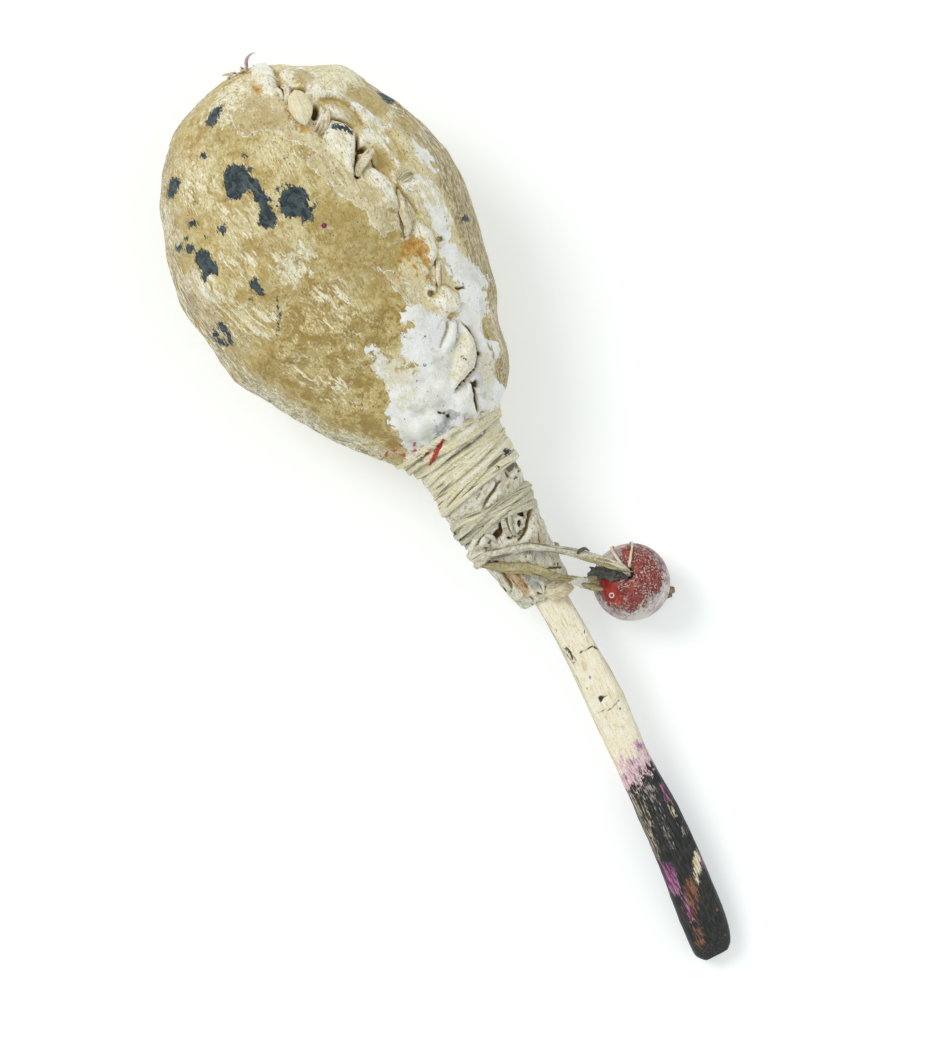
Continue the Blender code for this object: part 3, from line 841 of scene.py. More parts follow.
def wood_finish():
    """Whittled stick: cream wood, a stained band, charred black grip and rubbed patches."""
    p = Paint("whittled_wood")
    y = p.node("SeparateXYZ", {0: p.place}).outputs["Y"]
    grain = p.noise((0.42, 14.0, 0.42), 5, 0.68, 0.4)
    streak = p.noise((0.7, 5.0, 0.7), 6, 0.74, 0.8)
    small = p.noise((1.0, 1.6, 1.0), 5, 0.72, 0.4)
    fine = p.noise(0.5, 4, 0.78)
    blot = p.noise((2.4, 5.0, 2.4), 5, 0.7, 0.5)
    # Darker grain on the stick's sides, where it turns down: painted shade.
    shaded_flank = p.field("shaded_flank")
    colour = p.layers(
        (0.90, 0.83, 0.63),
        ((0.74, 0.635, 0.42), (grain, 0.46, 0.68)),
        ((0.93, 0.89, 0.75), (blot, 0.48, 0.62), 0.6),
        ((0.10, 0.085, 0.065), (p.noise((0.55, 1.3, 0.55), 4, 0.75), 0.63, 0.67), (blot, 0.50, 0.60),
            0.9),
        ((0.50, 0.42, 0.27), (small, 0.57, 0.66), 0.5),
        ((0.58, 0.47, 0.27), (grain, 0.56, 0.64), (blot, 0.52, 0.42), 0.6),
        ((0.30, 0.27, 0.22), (p.noise((0.4, 1.1, 0.4), 4, 0.8), 0.64, 0.70), 0.8),
        ((0.28, 0.235, 0.15), shaded_flank, (grain, 0.42, 0.56), 0.85),
    )

    ragged = p.scale_add(p.fray((1.0, 3.0, 1.0), 6, 0.75, 0.7), 0.007, -0.0035)
    drawn = p.scale_add(p.field("slant"), 0.001, p.math("ADD", y, ragged))
    purple = p.step(drawn, -0.0790, -0.0802)
    long = p.noise((0.5, 6.0, 0.5), 4, 0.62, 0.4)
    purple_colour = p.layers(
        (0.70, 0.46, 0.49),
        ((0.80, 0.66, 0.61), (small, 0.44, 0.60)),
        ((0.30, 0.11, 0.28), (long, 0.53, 0.63), 0.85),
        ((0.22, 0.07, 0.22), p.ragged("violet", p.fray((0.7, 2.4, 0.7)), 1.0, 0.5), 0.85),
    )
    colour = p.layers(colour, (purple_colour, purple))

    black = p.step(drawn, -0.0868, -0.0876)
    black_colour = p.layers(
        (0.013, 0.015, 0.0145),
        ((0.050, 0.051, 0.047), (grain, 0.38, 0.66)),
        ((0.15, 0.14, 0.12), (streak, 0.62, 0.72), 0.7),
        ((0.10, 0.062, 0.045), (small, 0.56, 0.68), 0.6),
    )
    colour = p.layers(colour, (black_colour, black))
    for name, tint, deeper, amount in (
        ("ash", (0.40, 0.36, 0.33), (0.03, 0.03, 0.028), 1.4),
        ("worn", (0.50, 0.43, 0.32), (0.055, 0.038, 0.028), 1.9),
        ("brown", (0.27, 0.12, 0.07), (0.06, 0.028, 0.020), 1.5),
        ("magenta", (0.46, 0.21, 0.33), (0.16, 0.03, 0.12), 1.1),
        ("cream", (0.85, 0.79, 0.60), (0.55, 0.45, 0.24), 0.6),
    ):
        tone = p.layers(tint, (deeper, (long, 0.44, 0.58)))
        there = p.ragged(name, p.fray((0.4, 3.2, 0.4), 5, 0.7, 0.5), amount, 0.25)
        colour = p.layers(colour, (tone, there, 0.9))
    # Ember spots, and painted shade near black in the pits and cuts.
    colour = p.layers(
        colour,
        ((0.24, 0.10, 0.02), p.ragged("ember", fine, 0.2, 0.3)),
        ((0.045, 0.035, 0.03), (p.field("hollow"), 0.25, 0.7)),
    )
    colour = p.shade(colour, p.scale_add(fine, 0.5, 0.76))
    matt = p.blend(0.62, 0.50, black)
    matt = p.math("ADD", matt, p.scale_add(fine, 0.3, -0.15))
    height = p.scale_add(grain, 0.9, p.math("MULTIPLY", streak, 0.6))
    height = p.scale_add(fine, 0.45, height)
    return p.finish(colour, matt, height, 0.25, Specular_IOR_Level=0.25)


def bead_finish():
    """A red bead: smooth on one side, frosted with fine grit, and rimmed with a chalky crust."""
    p = Paint("bead_glaze")
    broad = p.noise(4.5, 4, 0.6, 0.5)
    blot = p.noise(1.8, 5, 0.7, 0.6)
    grit = p.noise(0.55, 3, 0.72, 0.3)
    fine = p.noise(0.35, 3, 0.75)
    red = p.layers(
        (0.25, 0.010, 0.007),
        ((0.40, 0.028, 0.010), (blot, 0.42, 0.62)),
        ((0.13, 0.014, 0.014), (broad, 0.52, 0.66), 0.7),
        ((0.56, 0.10, 0.03), p.ragged("ember", p.fray(1.0), 0.9, 0.3), 0.8),
    )
    frost = p.ragged("frost", p.fray(1.6, 5, 0.75, 0.6), 2.0, 0.5)
    frosted = p.layers(
        (0.21, 0.020, 0.014),
        ((0.33, 0.075, 0.045), (blot, 0.44, 0.66)),
        ((0.66, 0.56, 0.51), (grit, 0.54, 0.59), (broad, 0.30, 0.56), 0.95),
        ((0.05, 0.012, 0.014), (grit, 0.45, 0.38), 0.85),
    )
    colour = p.layers(red, (frosted, frost, 0.92))
    crust = p.ragged("crust", p.fray(1.8, 5, 0.72, 0.7), 1.2, 0.5, -0.4)
    crust_colour = p.layers(
        (0.62, 0.55, 0.53),
        ((0.42, 0.31, 0.32), (broad, 0.44, 0.62)),
        ((0.74, 0.72, 0.65), p.ragged("chalk", p.fray(2.2), 2.0, 0.8), 0.9),
        ((0.70, 0.66, 0.58), (blot, 0.56, 0.66), 0.6),
        ((0.20, 0.16, 0.16), (grit, 0.62, 0.70), 0.6),
    )
    colour = p.layers(
        colour,
        (crust_colour, crust, 0.92),
        ((0.42, 0.05, 0.035), p.ragged("window", p.fray(0.8), 0.5, 0.1), 0.95),
    )
    ring = p.times(p.ragged("ring", fine, 0.05, 0.06), 0.95)
    # A pale ring, and painted shade near black inside the bore.
    colour = p.layers(
        colour,
        ((0.72, 0.66, 0.65), ring),
        ((0.03, 0.02, 0.02), (p.field("hollow"), 0.35, 0.8)),
    )
    matt = p.blend(0.26, 0.66, p.math("MAXIMUM", crust, frost))
    height = p.scale_add(grit, p.scale_add(frost, 1.1, 0.1), p.times(blot, 0.4))
    height = p.scale_add(crust, 0.9, height)
    return p.finish(colour, matt, height, 0.24, Coat_Weight=0.12, Coat_Roughness=0.25)


def stone_finish():
    """Grey-brown pebble stone."""
    p = Paint("pebble_stone")
    tone = p.noise(2.5, 5, 0.6)
    colour = p.layers(
        (0.20, 0.18, 0.15),
        ((0.42, 0.39, 0.34), (tone, 0.35, 0.65)),
        ((0.55, 0.53, 0.48), (p.noise(0.8, 3, 0.7), 0.62, 0.7)),
    )
    return p.finish(colour, 0.65, tone, 0.15)


RAWHIDE = skin_finish()
SINEW = fibre_finish("sinew", (0.56, 0.49, 0.25), (0.95, 0.905, 0.68), (0.82, 0.72, 0.37),
    stain=(0.60, 0.57, 0.45), marked=[("red", (0.45, 0.06, 0.035)), ("black", (0.04, 0.045, 0.05))])
GREY_SINEW = fibre_finish("grey_sinew", (0.38, 0.35, 0.24), (0.70, 0.67, 0.50), (0.50, 0.44, 0.24),
    stain=(0.72, 0.70, 0.60))
THONG = fibre_finish("thong_hide", (0.40, 0.36, 0.23), (0.74, 0.70, 0.56), (0.80, 0.77, 0.66),
    stain=(0.42, 0.36, 0.19))
OLIVE = fibre_finish("olive_hide", (0.25, 0.20, 0.09), (0.50, 0.43, 0.22), (0.36, 0.30, 0.13),
    stain=(0.56, 0.52, 0.38), marked=[("white", (0.76, 0.73, 0.62))])
CHALKY = fibre_finish("chalky_fibre", (0.68, 0.57, 0.32), (0.94, 0.89, 0.70), (0.60, 0.46, 0.20),
    (0.2, 3.0, 0.2), shade_and_dirt=(0.33, 0.23, 0.09))
TAN_FIBRE = fibre_finish("tan_fibre", (0.42, 0.32, 0.15), (0.74, 0.68, 0.50), (0.52, 0.42, 0.23),
    (0.2, 3.0, 0.2), shade_and_dirt=(0.16, 0.11, 0.05))
DARK_HIDE = fibre_finish("dark_hide", (0.018, 0.021, 0.023), (0.12, 0.125, 0.12), (0.16, 0.15, 0.12))
PURPLE = fibre_finish("purple_fibre", (0.42, 0.22, 0.38), (0.66, 0.45, 0.58), (0.5, 0.28, 0.44))
LEAF = fibre_finish("leaf_hide", (0.66, 0.56, 0.33), (0.85, 0.785, 0.57), (0.72, 0.61, 0.37),
    (0.5, 5.0, 0.5), shade_and_dirt=(0.36, 0.27, 0.12))
STUB = fibre_finish("stub_hide", (0.20, 0.15, 0.07), (0.40, 0.33, 0.18), (0.27, 0.20, 0.09),
    (0.3, 3.0, 0.3), shade_and_dirt=(0.08, 0.06, 0.04))
WOOD = wood_finish()
BEAD = bead_finish()
STONE = stone_finish()


# ---------------------------------------------------------------- the head
def head_rows():
    """Where along the head its rings are, close together where its relief is fine."""
    cuff = np.linspace(CUFF_Y, 7.0, 80, endpoint=False)
    under_band = np.linspace(7.0, 24.0, 14, endpoint=False)
    body = np.linspace(24.0, 124.0, 172, endpoint=False)
    crown = 124.0 + (TIP_Y - 0.05 - 124.0) * np.sin(np.linspace(0, math.pi / 2, 36))
    return np.concatenate([cuff, under_band, body, crown])


def head_columns(count):
    """Angles from straight up, closer together over the seam and wide underneath."""
    a = np.linspace(-180, 180, 2881)
    weight = 0.32 + 0.68 * eased(120 - np.abs(a), 0, 30)
    weight += 0.95 * np.exp(-(((a - 32) / 20) ** 2))
    total = np.concatenate([[0], np.cumsum((weight[1:] + weight[:-1]) / 2)])
    places = np.linspace(0, total[-1], count, endpoint=False)
    return np.interp(places, total, a)


# Marks that both the relief and the colours follow, or that two colours share.
UPPER_RIDGE = [(24.8, 117.4), (27, 114.2), (28.5, 110.6), (29.8, 107.6), (33.2, 107.2)]
RUBBED_SPOT = [(-11.1, 88.1), (-3.7, 86.3), (-6.3, 80.8), (-12.1, 81), (-13.7, 84.6)]


def seam_relief(r):
    """The laced seam, from the tip down to the neck: puffed lobes, pockets and cracks."""
    r.spine = [(8, 136), (9.8, 130.4), (13.6, 122), (17, 114), (20, 106), (19.6, 100), (24.6, 92),
        (23.2, 82), (24, 74), (23.6, 66), (24.4, 58), (23.6, 50), (22.6, 41), (18.6, 34), (16.4, 25)]
    # The chalky flap beside the tip, what it rests on, and the ridge and pocket beside it.
    r.lobe([(2.9, 135.3), (3, 132.6), (4.6, 130), (7.3, 128.4), (9.2, 129.4), (9, 132.6), (6, 134.8)],
        0.5, 0.8, 0.7)
    r.lobe([(4.5, 140.6), (7.1, 140.6), (9.4, 138.3), (9.9, 134.6), (9.1, 131.4), (7.1, 130.7),
        (5.1, 133.2), (3.7, 136.4)], 1, 0.8, 0.8)
    r.lobe([(10, 132.2), (10.6, 134.2), (12.4, 134.9), (15.2, 133.6), (17.9, 131), (18.9, 128),
        (20.6, 124.6), (19.4, 122.4), (16.4, 123.6), (15.2, 125.8), (15, 128.2), (12.4, 130.2)], 0.9, 1.3,
        1.1)
    r.pit(13.6, 127.2, 1.3, 1.7, 1.9, -28, hollow=0.8)
    r.pit(9.7, 130, 0.8, 1.6, 1.4, 60)
    r.pit(16.8, 129.6, 1.4, 0.5, 1.6, -40, hollow=0.2)
    # The arched lobe, with a lens of hide and a pocket inside it.
    r.fold([(15.4, 121.8), (18.1, 122.3), (20.9, 121.3), (23, 119.6), (24.7, 117.1), (25.4, 114.1),
        (25.7, 111), (26, 107.9)], 1.4, 2.6, 0.8, 1.4, hollow=0.4)
    r.lobe([(17.6, 120.6), (20, 119.8), (22.6, 117.6), (24, 114.6), (24.2, 112.4), (22.2, 112.4),
        (19.4, 114), (18.2, 116.4)], 0.4, 1, 0.9, 0.3)
    r.crease([(18.4, 118.9), (20.4, 117.2), (22.2, 114.9), (23.2, 113.2)], -0.6, 0.7)
    r.pit(14.9, 119.3, 1.3, 1.7, 1.9, 60, hollow=0.75)
    r.crease([(17.6, 115.9), (20, 114.5), (22, 112.2), (23.4, 110.6)], 1.1, 0.5, 0.6)
    # The flap with a painted edge, and the dark line down its right side.
    r.lobe([(15, 114.9), (17.9, 115.2), (20.8, 113), (22.3, 109.6), (20.4, 105.1), (18.1, 101.4),
        (16.6, 98.8), (14.7, 102.8), (13.7, 106.1), (13.5, 111.1)], 1.1, 0.9, 1.1, 0.2)
    r.crease([(22.3, 108.8), (20.8, 105), (18.7, 101.2), (17.3, 98.2)], 1.6, 0.42, 1)
    # The next arch and its two pockets.
    r.lobe([(21.3, 107.2), (23.2, 108.9), (26.6, 108), (28.6, 104.8), (28.9, 100.4), (29.4, 96),
        (28, 94.4), (27.6, 98.6), (26.6, 102.4), (23.8, 104.4), (21.8, 105.2)], 1, 1.5, 0.9, 0.35)
    r.pit(21.7, 104.3, 1, 1.5, 1.9, -8, hollow=0.7)
    r.bump(25.3, 98.9, 1.7, 3.3, -1.7, -10)
    r.crease([(23.4, 102), (22.8, 99.6), (23.5, 96.4)], 0.6, 0.45, 0.75)
    r.crease([(28.8, 110.4), (30.6, 106), (31.3, 100.6), (31.2, 95)], 0.5, 0.8, 0.25)
    r.crease(UPPER_RIDGE, -0.5, 0.6)
    r.pit(17.3, 98.1, 0.7, 1.6)
    # The long pale lobe, the crack beside it and the ribbed shell on the other side.
    r.lobe([(22, 99.4), (23.9, 96.7), (25, 92.6), (24.7, 88.9), (22.9, 84.4), (21, 86), (19.7, 90.3),
        (19.1, 95.1), (19.5, 98.8)], 0.8, 1.6, 1.3, 0.25)
    r.crease([(26.3, 92.2), (25.5, 88.6), (24.1, 85), (22.6, 80.8), (21.8, 78.3)], 1.3, 0.55, 0.7)
    r.pit(21.5, 78.1, 0.85, 2)
    r.lobe([(27, 92.4), (30.8, 92), (34.2, 90), (36.2, 84.5), (36.6, 79), (36.2, 75.6), (32.7, 74.6),
        (30.6, 73.8), (29.3, 76.6), (28.9, 81.5), (27.6, 87.3), (26.4, 90.4)], 0.7, 2, 0.9, 0.2)
    r.crease([(29.3, 90.6), (29.7, 86.1), (29.9, 82.2), (30.3, 77)], 0.5, 0.6, 0.4)
    r.crease([(31.2, 90.4), (31.8, 86), (32.2, 81.4), (32.6, 76.6)], 0.4, 0.7, 0.12)
    r.crease([(33.4, 89), (34, 84.6), (34.4, 79.6)], 0.3, 0.7, 0.08)
    r.crease([(25.9, 89.8), (27.2, 85.1), (27.3, 80.8)], 0.6, 0.45, 0.5)
    r.lobe([(26.9, 80.6), (28.6, 77.4), (28.7, 73.5), (27, 69.4), (23.5, 67.8), (23.1, 71.7), (22.9, 76),
        (24.4, 79.6)], 0.8, 1.6, 1.4, 0.25)
    r.crease([(15.2, 77.6), (19, 77.4), (22.7, 77), (24.6, 76.6)], -0.7, 0.45)
    r.pit(30.2, 73.1, 0.75, 1.3, 1.4, -15, hollow=0.75)
    r.crease([(26.4, 69.2), (25.6, 66), (24.2, 63.2), (22.4, 61.4)], 0.9, 0.55, 0.6)
    r.crease([(23.9, 67.9), (22.6, 65), (21.9, 62.2)], 0.5, 0.45, 0.4)
    r.pit(20.6, 60.9, 0.95, 2.4, rim=0.15)
    r.crease([(27, 59.5), (28.4, 58.9), (30.2, 58.5)], 1.1, 0.4, 0.9)
    # The lower lobes, half under chalk.
    r.lobe([(26, 60.2), (26.9, 56.4), (25.2, 53.4), (23.3, 53.6), (20.6, 52.9), (19.3, 55.9),
        (19.4, 59.1), (21.7, 60.3), (24, 61.9)], 0.8, 1.5, 1.2)
    r.lobe([(22.7, 52.5), (23.3, 50.7), (21.8, 48.2), (19.1, 44.8), (16.3, 43.9), (16.6, 46.8),
        (19.6, 49.5), (21.2, 51.9)], 0.8, 1.2, 0.9, 0.5)
    r.lobe([(23.9, 51.2), (25.1, 47.9), (25.2, 44.2), (24.3, 40.1), (22.6, 37.9), (19.7, 36.5),
        (16.3, 35.1), (13.6, 34.5), (15.1, 39.3), (18.5, 43.6), (21.8, 46.4)], 0.9, 2, 1.5, 0.5)
    r.crease([(23.9, 51.6), (25.3, 47.9), (25.1, 44.9), (24.4, 41.1), (22.9, 38.3), (19.5, 36.3),
        (15.5, 34.7), (12.2, 33.2)], 0.9, 0.40, 0.85)
    r.lobe([(18.9, 35.2), (18.7, 32.6), (17.3, 29.1), (16.4, 26.2), (13.4, 27.5), (10.5, 28),
        (12.2, 31.2), (15.9, 34)], 0.7, 1.2, 0.9, 0.5)
    r.crease([(19.4, 35.4), (19.3, 32.8), (18.2, 30.2), (16.9, 26)], 1, 0.42, 0.85)
    r.pit(20.2, 33.4, 1, 1.3, 1.5, 50, hollow=0.7)
    r.lobe([(19.4, 30.6), (22.4, 28.4), (23, 25.9), (20.5, 25.2), (17.8, 26.7)], 0.6, 1, 0.5)
    r.pit(24.6, 40.8, 0.55, 1.5, 1.6, -30)
    r.pit(9.3, 28.4, 0.65, 1.5)
    r.crease([(7, 31.4), (8, 30.2), (9.2, 29.6)], 0.6, 0.3, 0.9)
    r.crease([(21.6, 52.8), (20.2, 50), (17.4, 47.6), (15.6, 45.8)], 0.7, 0.5, 0.5)
    r.crease([(12, 43.6), (14.1, 43.4), (16.3, 43.8)], 0.4, 0.5, 0.2)
    r.crease([(-5.6, 35), (-2.4, 30.6), (2.7, 30.2), (8.2, 30.6)], -0.8, 1.7)
    r.crease([(-0.6, 34.4), (3, 32.8), (7.6, 32), (11.8, 33)], 0.6, 1.7, 0)
    r.crease([(-3.2, 45.6), (2, 42), (7, 40.4), (11.4, 41.6)], 0.35, 1.2, 0)
    r.crease([(4.6, 37.4), (9, 36.2), (12.8, 37.6)], -0.45, 1.2)
    r.crease([(28.6, 57), (27.6, 52), (26.9, 46), (26.6, 40)], -0.6, 0.9)
    r.crease([(33.4, 56.6), (31.2, 50.8), (28.8, 43.6), (27.9, 37.2), (27.4, 31.6)], 0.6, 0.9, 0.3)
    r.crease([(35, 53), (32.2, 48), (30.4, 42), (29.9, 36)], -0.7, 0.8)
    r.bump(13, 50, 5, 6, 0.8)
    r.bump(26.5, 46, 2.2, 4.5, 0.5)
    # Soft dents and swellings of the whole hide.
    r.bump(-22, 79, 5.5, 9, 0.9, -20)
    r.bump(-15, 70, 4, 12, -0.9, 12)
    r.bump(-27, 66, 4, 9, -0.7, -25)
    r.bump(-30, 93, 4, 8, -0.6, -10)
    r.bump(26, 126, 5, 4, 0.8, -40)
    r.crease([(-13.4, 87.4), (-12.2, 80.4), (-13.8, 73.4), (-17.4, 67.4)], 0.5, 1.1, 0.12)
    r.crease([(23.6, 121), (27.4, 117.6), (30.6, 112.8), (33.6, 110.6)], 0.6, 1.6, 0)


def neck_relief(r):
    """The wrinkled skin that shows between the neck's bindings and below them."""
    r.spine = None
    r.fold([(15.9, 0.4), (11, -0.9), (6.1, -1.9), (1.8, -3.2), (-2.3, -5.2)], 0.9, 1.6, 0.9, 0.9, hollow=0.7)
    r.pit(15.6, -4.4, 1.1, 1.6, 1.4, -30)
    r.pit(13.4, -6.6, 0.7, 1.3, 1.7, 60)
    r.crease([(18.6, -3.4), (16.4, -6.6), (13.6, -9.6), (9.6, -11.2)], 0.9, 0.5, 0.75)
    r.crease([(16.8, -10.6), (16, -14), (16.6, -17.6)], 0.5, 0.35, 0.6)
    r.crease([(4.4, -1.6), (2.6, -4.4), (-0.6, -7)], 0.7, 0.4, 0.75)
    r.crease([(13.4, 8.2), (12.2, 5.6), (9, 3.8), (5.4, 1.4)], 0.6, 0.4, 0.6)
    r.pit(6.4, -6.6, 1.3, 1.5, 1.9, 20, hollow=0.8)
    r.pit(8.2, -4.9, 0.6, 1, 2, 60, hollow=0.75)
    r.pit(9.2, -8.8, 0.5, 1, 2.4, 10)
    r.pit(3.7, -3, 0.3, 0.8, 3, 20)
    r.lobe([(-2.5, -5.5), (0, -4.8), (3.4, -5.2), (3, -7.6), (0, -8.3), (-3, -7.6)], 0.7, 0.8, 0.4)
    r.crease([(14.7, -8.2), (11.5, -9.2), (8.6, -9.5)], 0.6, 0.5, 0.3)
    r.crease([(19.7, 10.1), (20.4, 8), (20.6, 5.7)], 0.6, 0.4, 0.5)
    r.crease([(16.3, 7.9), (17.3, 5.6), (19.5, 5.4)], 0.5, 0.35, 0.3)
    r.pit(20.1, 6.6, 0.4, 0.9)
    r.pit(15.1, 10.1, 0.35, 0.9)
    r.crease([(5.3, 2.9), (8.1, 5.8), (11.7, 8.4)], -0.5, 0.5)
    r.crease([(7, 2.6), (11, 5), (15, 7)], 0.45, 0.5, 0.1)
    # The split on the left, its inner skin and the folded cuff.
    r.fold([(2.9, -22.9), (2.6, -19.6), (2.3, -16.4), (1.6, -12.2)], 1, 1.6, 1.8, 0.8, hollow=1)
    r.crease([(0.7, -17.4), (1, -20), (1.6, -22.6)], 0.6, 0.35, 0.7)
    r.crease([(4.8, -15.4), (5.2, -20.2), (6.4, -24.6)], -0.7, 0.7)
    r.crease([(6.1, -16.8), (6.5, -21.2), (7.2, -24.6)], 0.7, 0.45, 0.35)
    r.crease([(3.6, -16.8), (3.9, -20.6), (4.8, -24.4)], 0.4, 0.4, 0.2)
    r.crease([(15.2, -21.8), (17.2, -22.6), (18.6, -23.3)], 0.6, 0.35, 0.8)
    r.crease([(12.8, -20.6), (14.4, -21.6), (16, -22)], 0.5, 0.3, 0.55)
    r.pit(16.8, -21.4, 0.35, 0.5)
    r.pit(18, -22, 0.3, 0.5)
    r.crease([(8.9, -26.4), (9.4, -27.2), (10.2, -27.6)], 0.5, 0.3, 0.75)
    r.crease([(10.6, -27.8), (11.6, -26.8), (12.2, -25.9)], 0.6, 0.25, 0.85)
    for y, x in ((-12, 17), (-17.5, 17.5), (-5, 19), (12, 19)):
        r.bump(x, y, 1.4, 2.2, 0.35)


def head_colours(r):
    """Where each tone of the hide lies, and the paint, chalk and stains over it."""
    r.area("pale", [(-2.4, 130.8), (1.4, 132.6), (3, 135.2), (6, 129), (9.2, 126.7), (8.4, 121.5),
        (11.8, 115.5), (13.4, 112.2), (14.3, 105.9), (16.5, 99), (18.4, 96.5), (21, 91.9), (22.9, 86.2),
        (20.9, 80.7), (16.9, 80.9), (17.9, 78.8), (16, 80.6), (14.7, 82.8), (14.4, 88.6), (11.8, 93.1),
        (10.2, 96.4), (8.4, 102.2), (6.6, 106.8), (7.6, 109.2), (10.1, 108.8), (8.6, 111.4), (7.2, 112.8),
        (4.3, 116.8), (1.4, 120.8), (-3.2, 121.5), (-5.3, 122.3), (-6.7, 127), (-6, 129.2)],
        [(10.6, 73.5), (13.6, 71.2), (16.2, 66.7), (17.4, 61.3), (14.8, 59.3), (12.8, 63.5),
        (12.2, 68.6)])
    r.area("glaze", [(-11.6, 76.7), (-7.3, 78.5), (-1.8, 73.2), (1.3, 65.2), (6.9, 63.2), (13.1, 60.9),
        (14.1, 58.8), (9.8, 57.7), (9.1, 54.8), (5.1, 52), (1.5, 53), (-3.4, 56.3), (-3.6, 60.4),
        (-5.7, 55), (-3.1, 52.1), (-2.9, 46.2), (-1.9, 43.3), (-6, 37.2), (-5.1, 29.4), (-8.9, 28.8),
        (-14.8, 35.2), (-19.4, 40.9), (-23.6, 48.9), (-27.7, 56.8), (-31.3, 62.8), (-32.6, 65.2),
        (-27.8, 65.8), (-22, 68.4), (-18.2, 73.7)])
    r.area("gesso", [(10.2, 60), (15.8, 59.7), (17.1, 57.4), (21.7, 55.2), (22.7, 52.3), (25.4, 54.3),
        (27.3, 57.9), (34.1, 55.8), (31.9, 50.7), (28.4, 45.6), (29.8, 40.1), (26, 34.4), (26.8, 29.2),
        (22.3, 22), (16, 6), (0, 6), (-6.5, 20), (-5.9, 26.5), (-5.1, 29.4), (-5.7, 37), (-2.3, 42.6),
        (-2.2, 45.9), (-3.8, 50.8), (-1.5, 52), (4.1, 48.4), (5.7, 46.8), (5.4, 51), (1.5, 53),
        (-3.4, 54.7), (-3.5, 55.9), (1.9, 53.6), (5, 51.6), (8.5, 54.4), (13.4, 55.1), (9.8, 57.7)],
        [(35.1, 101.4), (36.9, 98.4), (38.5, 94.3), (37.1, 93.1), (37.7, 90.3), (36.2, 89.7),
        (35.1, 93.9), (34.4, 95.8)],
        [(28.8, 72.2), (33, 70.7), (34.6, 64), (36.2, 58), (33.5, 55.6), (29.5, 58), (28.1, 62.8),
        (28.1, 67.6)], [(30.4, 84), (32.8, 82), (33.6, 76), (32.6, 72), (30.4, 74)],
        [(5, 140.3), (7.4, 139.9), (9.1, 137.4), (9.2, 132.6), (8, 133.4), (7, 136.6), (5.6, 138.4)])
    r.strokes("gesso", (0.45, UPPER_RIDGE),
        (0.5, [(27.2, 92.8), (30.4, 92.2), (33.8, 90.4), (35.6, 86.4)]),
        (0.35, [(33, 88), (33.8, 83), (34.4, 78)]), (0.4, [(16, 133.6), (18.4, 131), (20.6, 126)]),
        (0.4, [(24.6, 109.2), (27.4, 107.4), (29.2, 103.6)]))
    # The tan gaps that show through the chalk are patches of it taken away.
    gap = r.field("gesso")
    for outline in ([(0.7, 50.1), (4.4, 49.9), (4.9, 48.8), (1.2, 48.7)],
                    [(2.2, 46.9), (7.3, 46.5), (7.8, 45.2), (3.3, 45.6)],
                    [(34.6, 55.8), (36.9, 54.2), (34.1, 49.7), (30.3, 46.5), (31.8, 50.4)],
                    [(28.5, 42.1), (29, 37.8), (29.3, 34.2), (28, 31.7), (27.3, 33.5), (27.5, 37)],
                    [(10.6, 57.4), (13.2, 57), (12.8, 55.4), (10.8, 55.8)]):
        gap[:] = np.minimum(gap, -inside(r.x, r.y, outline))
    r.area("brown", [(29.9, 109.6), (37, 104.2), (40, 97.2), (46, 92.4), (46, 77.1), (43, 66), (39, 54.1),
        (35, 43.8), (30, 31), (24.4, 27.9), (28.1, 36.8), (30.9, 45.4), (34.3, 55.4), (32.9, 60.7),
        (34.9, 67.9), (35.6, 74.1), (34.3, 79.5), (35, 87.3), (38.8, 91.6), (36.5, 100), (30.8, 104.9)],
        [(-1.6, 143.5), (-1.2, 139.8), (1, 138.6), (3.2, 138.6), (3.8, 140), (3.6, 143.5)])
    # Tan patches: the hide's own tan, and in the seam's pockets also painted shade.
    r.area("tan", [(23.9, 102.4), (26.8, 101.6), (27.9, 99.5), (27.4, 96.4), (24.9, 94.7), (23.2, 97.7),
        (22.3, 100.3)], [(28.6, 104), (30.4, 102), (31.4, 97), (30.2, 96.6), (29.6, 100)],
        [(22.8, 121.4), (27.3, 121.8), (32.2, 118.6), (34.4, 113.2), (30.6, 111), (26.3, 113.7)],
        [(11.6, 134.6), (15.1, 132.7), (18.7, 129.6), (18.1, 126.7), (15, 128.7)],
        [(16.6, 121), (19, 120.6), (22.2, 117), (24, 112), (21.8, 113.6), (19.2, 118.6)],
        [(33, 109), (37.5, 107.4), (39, 103), (35, 104.6)])
    r.area("seamed", [(-1, 141.5), (14, 141.5), (25, 133), (31, 121), (33.5, 108), (36, 98), (36.6, 84),
        (35.5, 72), (33, 60), (32, 50), (18, 50), (13.6, 61), (15.5, 68), (20, 78), (19.5, 88), (15, 100),
        (11, 112), (7, 123), (1, 131)])
    r.area("cloud", [(2.9, 85.7), (12.3, 82.4), (17.3, 74.5), (14.4, 64.9), (3.8, 68.8), (-1.6, 77)],
        [(-19.6, 98.9), (-12.5, 93.6), (-5.6, 87.9), (-10.9, 85.9), (-19.2, 91.7)],
        [(-16.1, 135), (-4, 132.8), (0.1, 126.6), (-2.2, 119), (-9.4, 121.5), (-16.6, 127.3)],
        [(-1.3, 96.1), (7.5, 97.2), (11.8, 86.7), (12.3, 82.4), (3.5, 86.7), (-1.4, 90.6)],
        [(-36, 90), (-31, 88), (-29, 80), (-33, 70), (-38, 76)],
        [(32.4, 122.7), (36.1, 113), (40, 104.2), (41.6, 96.2), (37.4, 98.9), (33.5, 107.7), (32, 115.8)],
        [(-24, 56), (-16, 44), (-8, 33), (-12, 30), (-22, 42), (-30, 56)],
        [(-4, 127), (1, 129), (7, 125), (8, 118), (5, 116.4), (2, 120), (-2.6, 122)])
    r.strokes("cloud", (0.8, [(-16.6, 85), (-18, 80.1), (-19.1, 75.1), (-22, 69.8), (-26.4, 66.6)]))
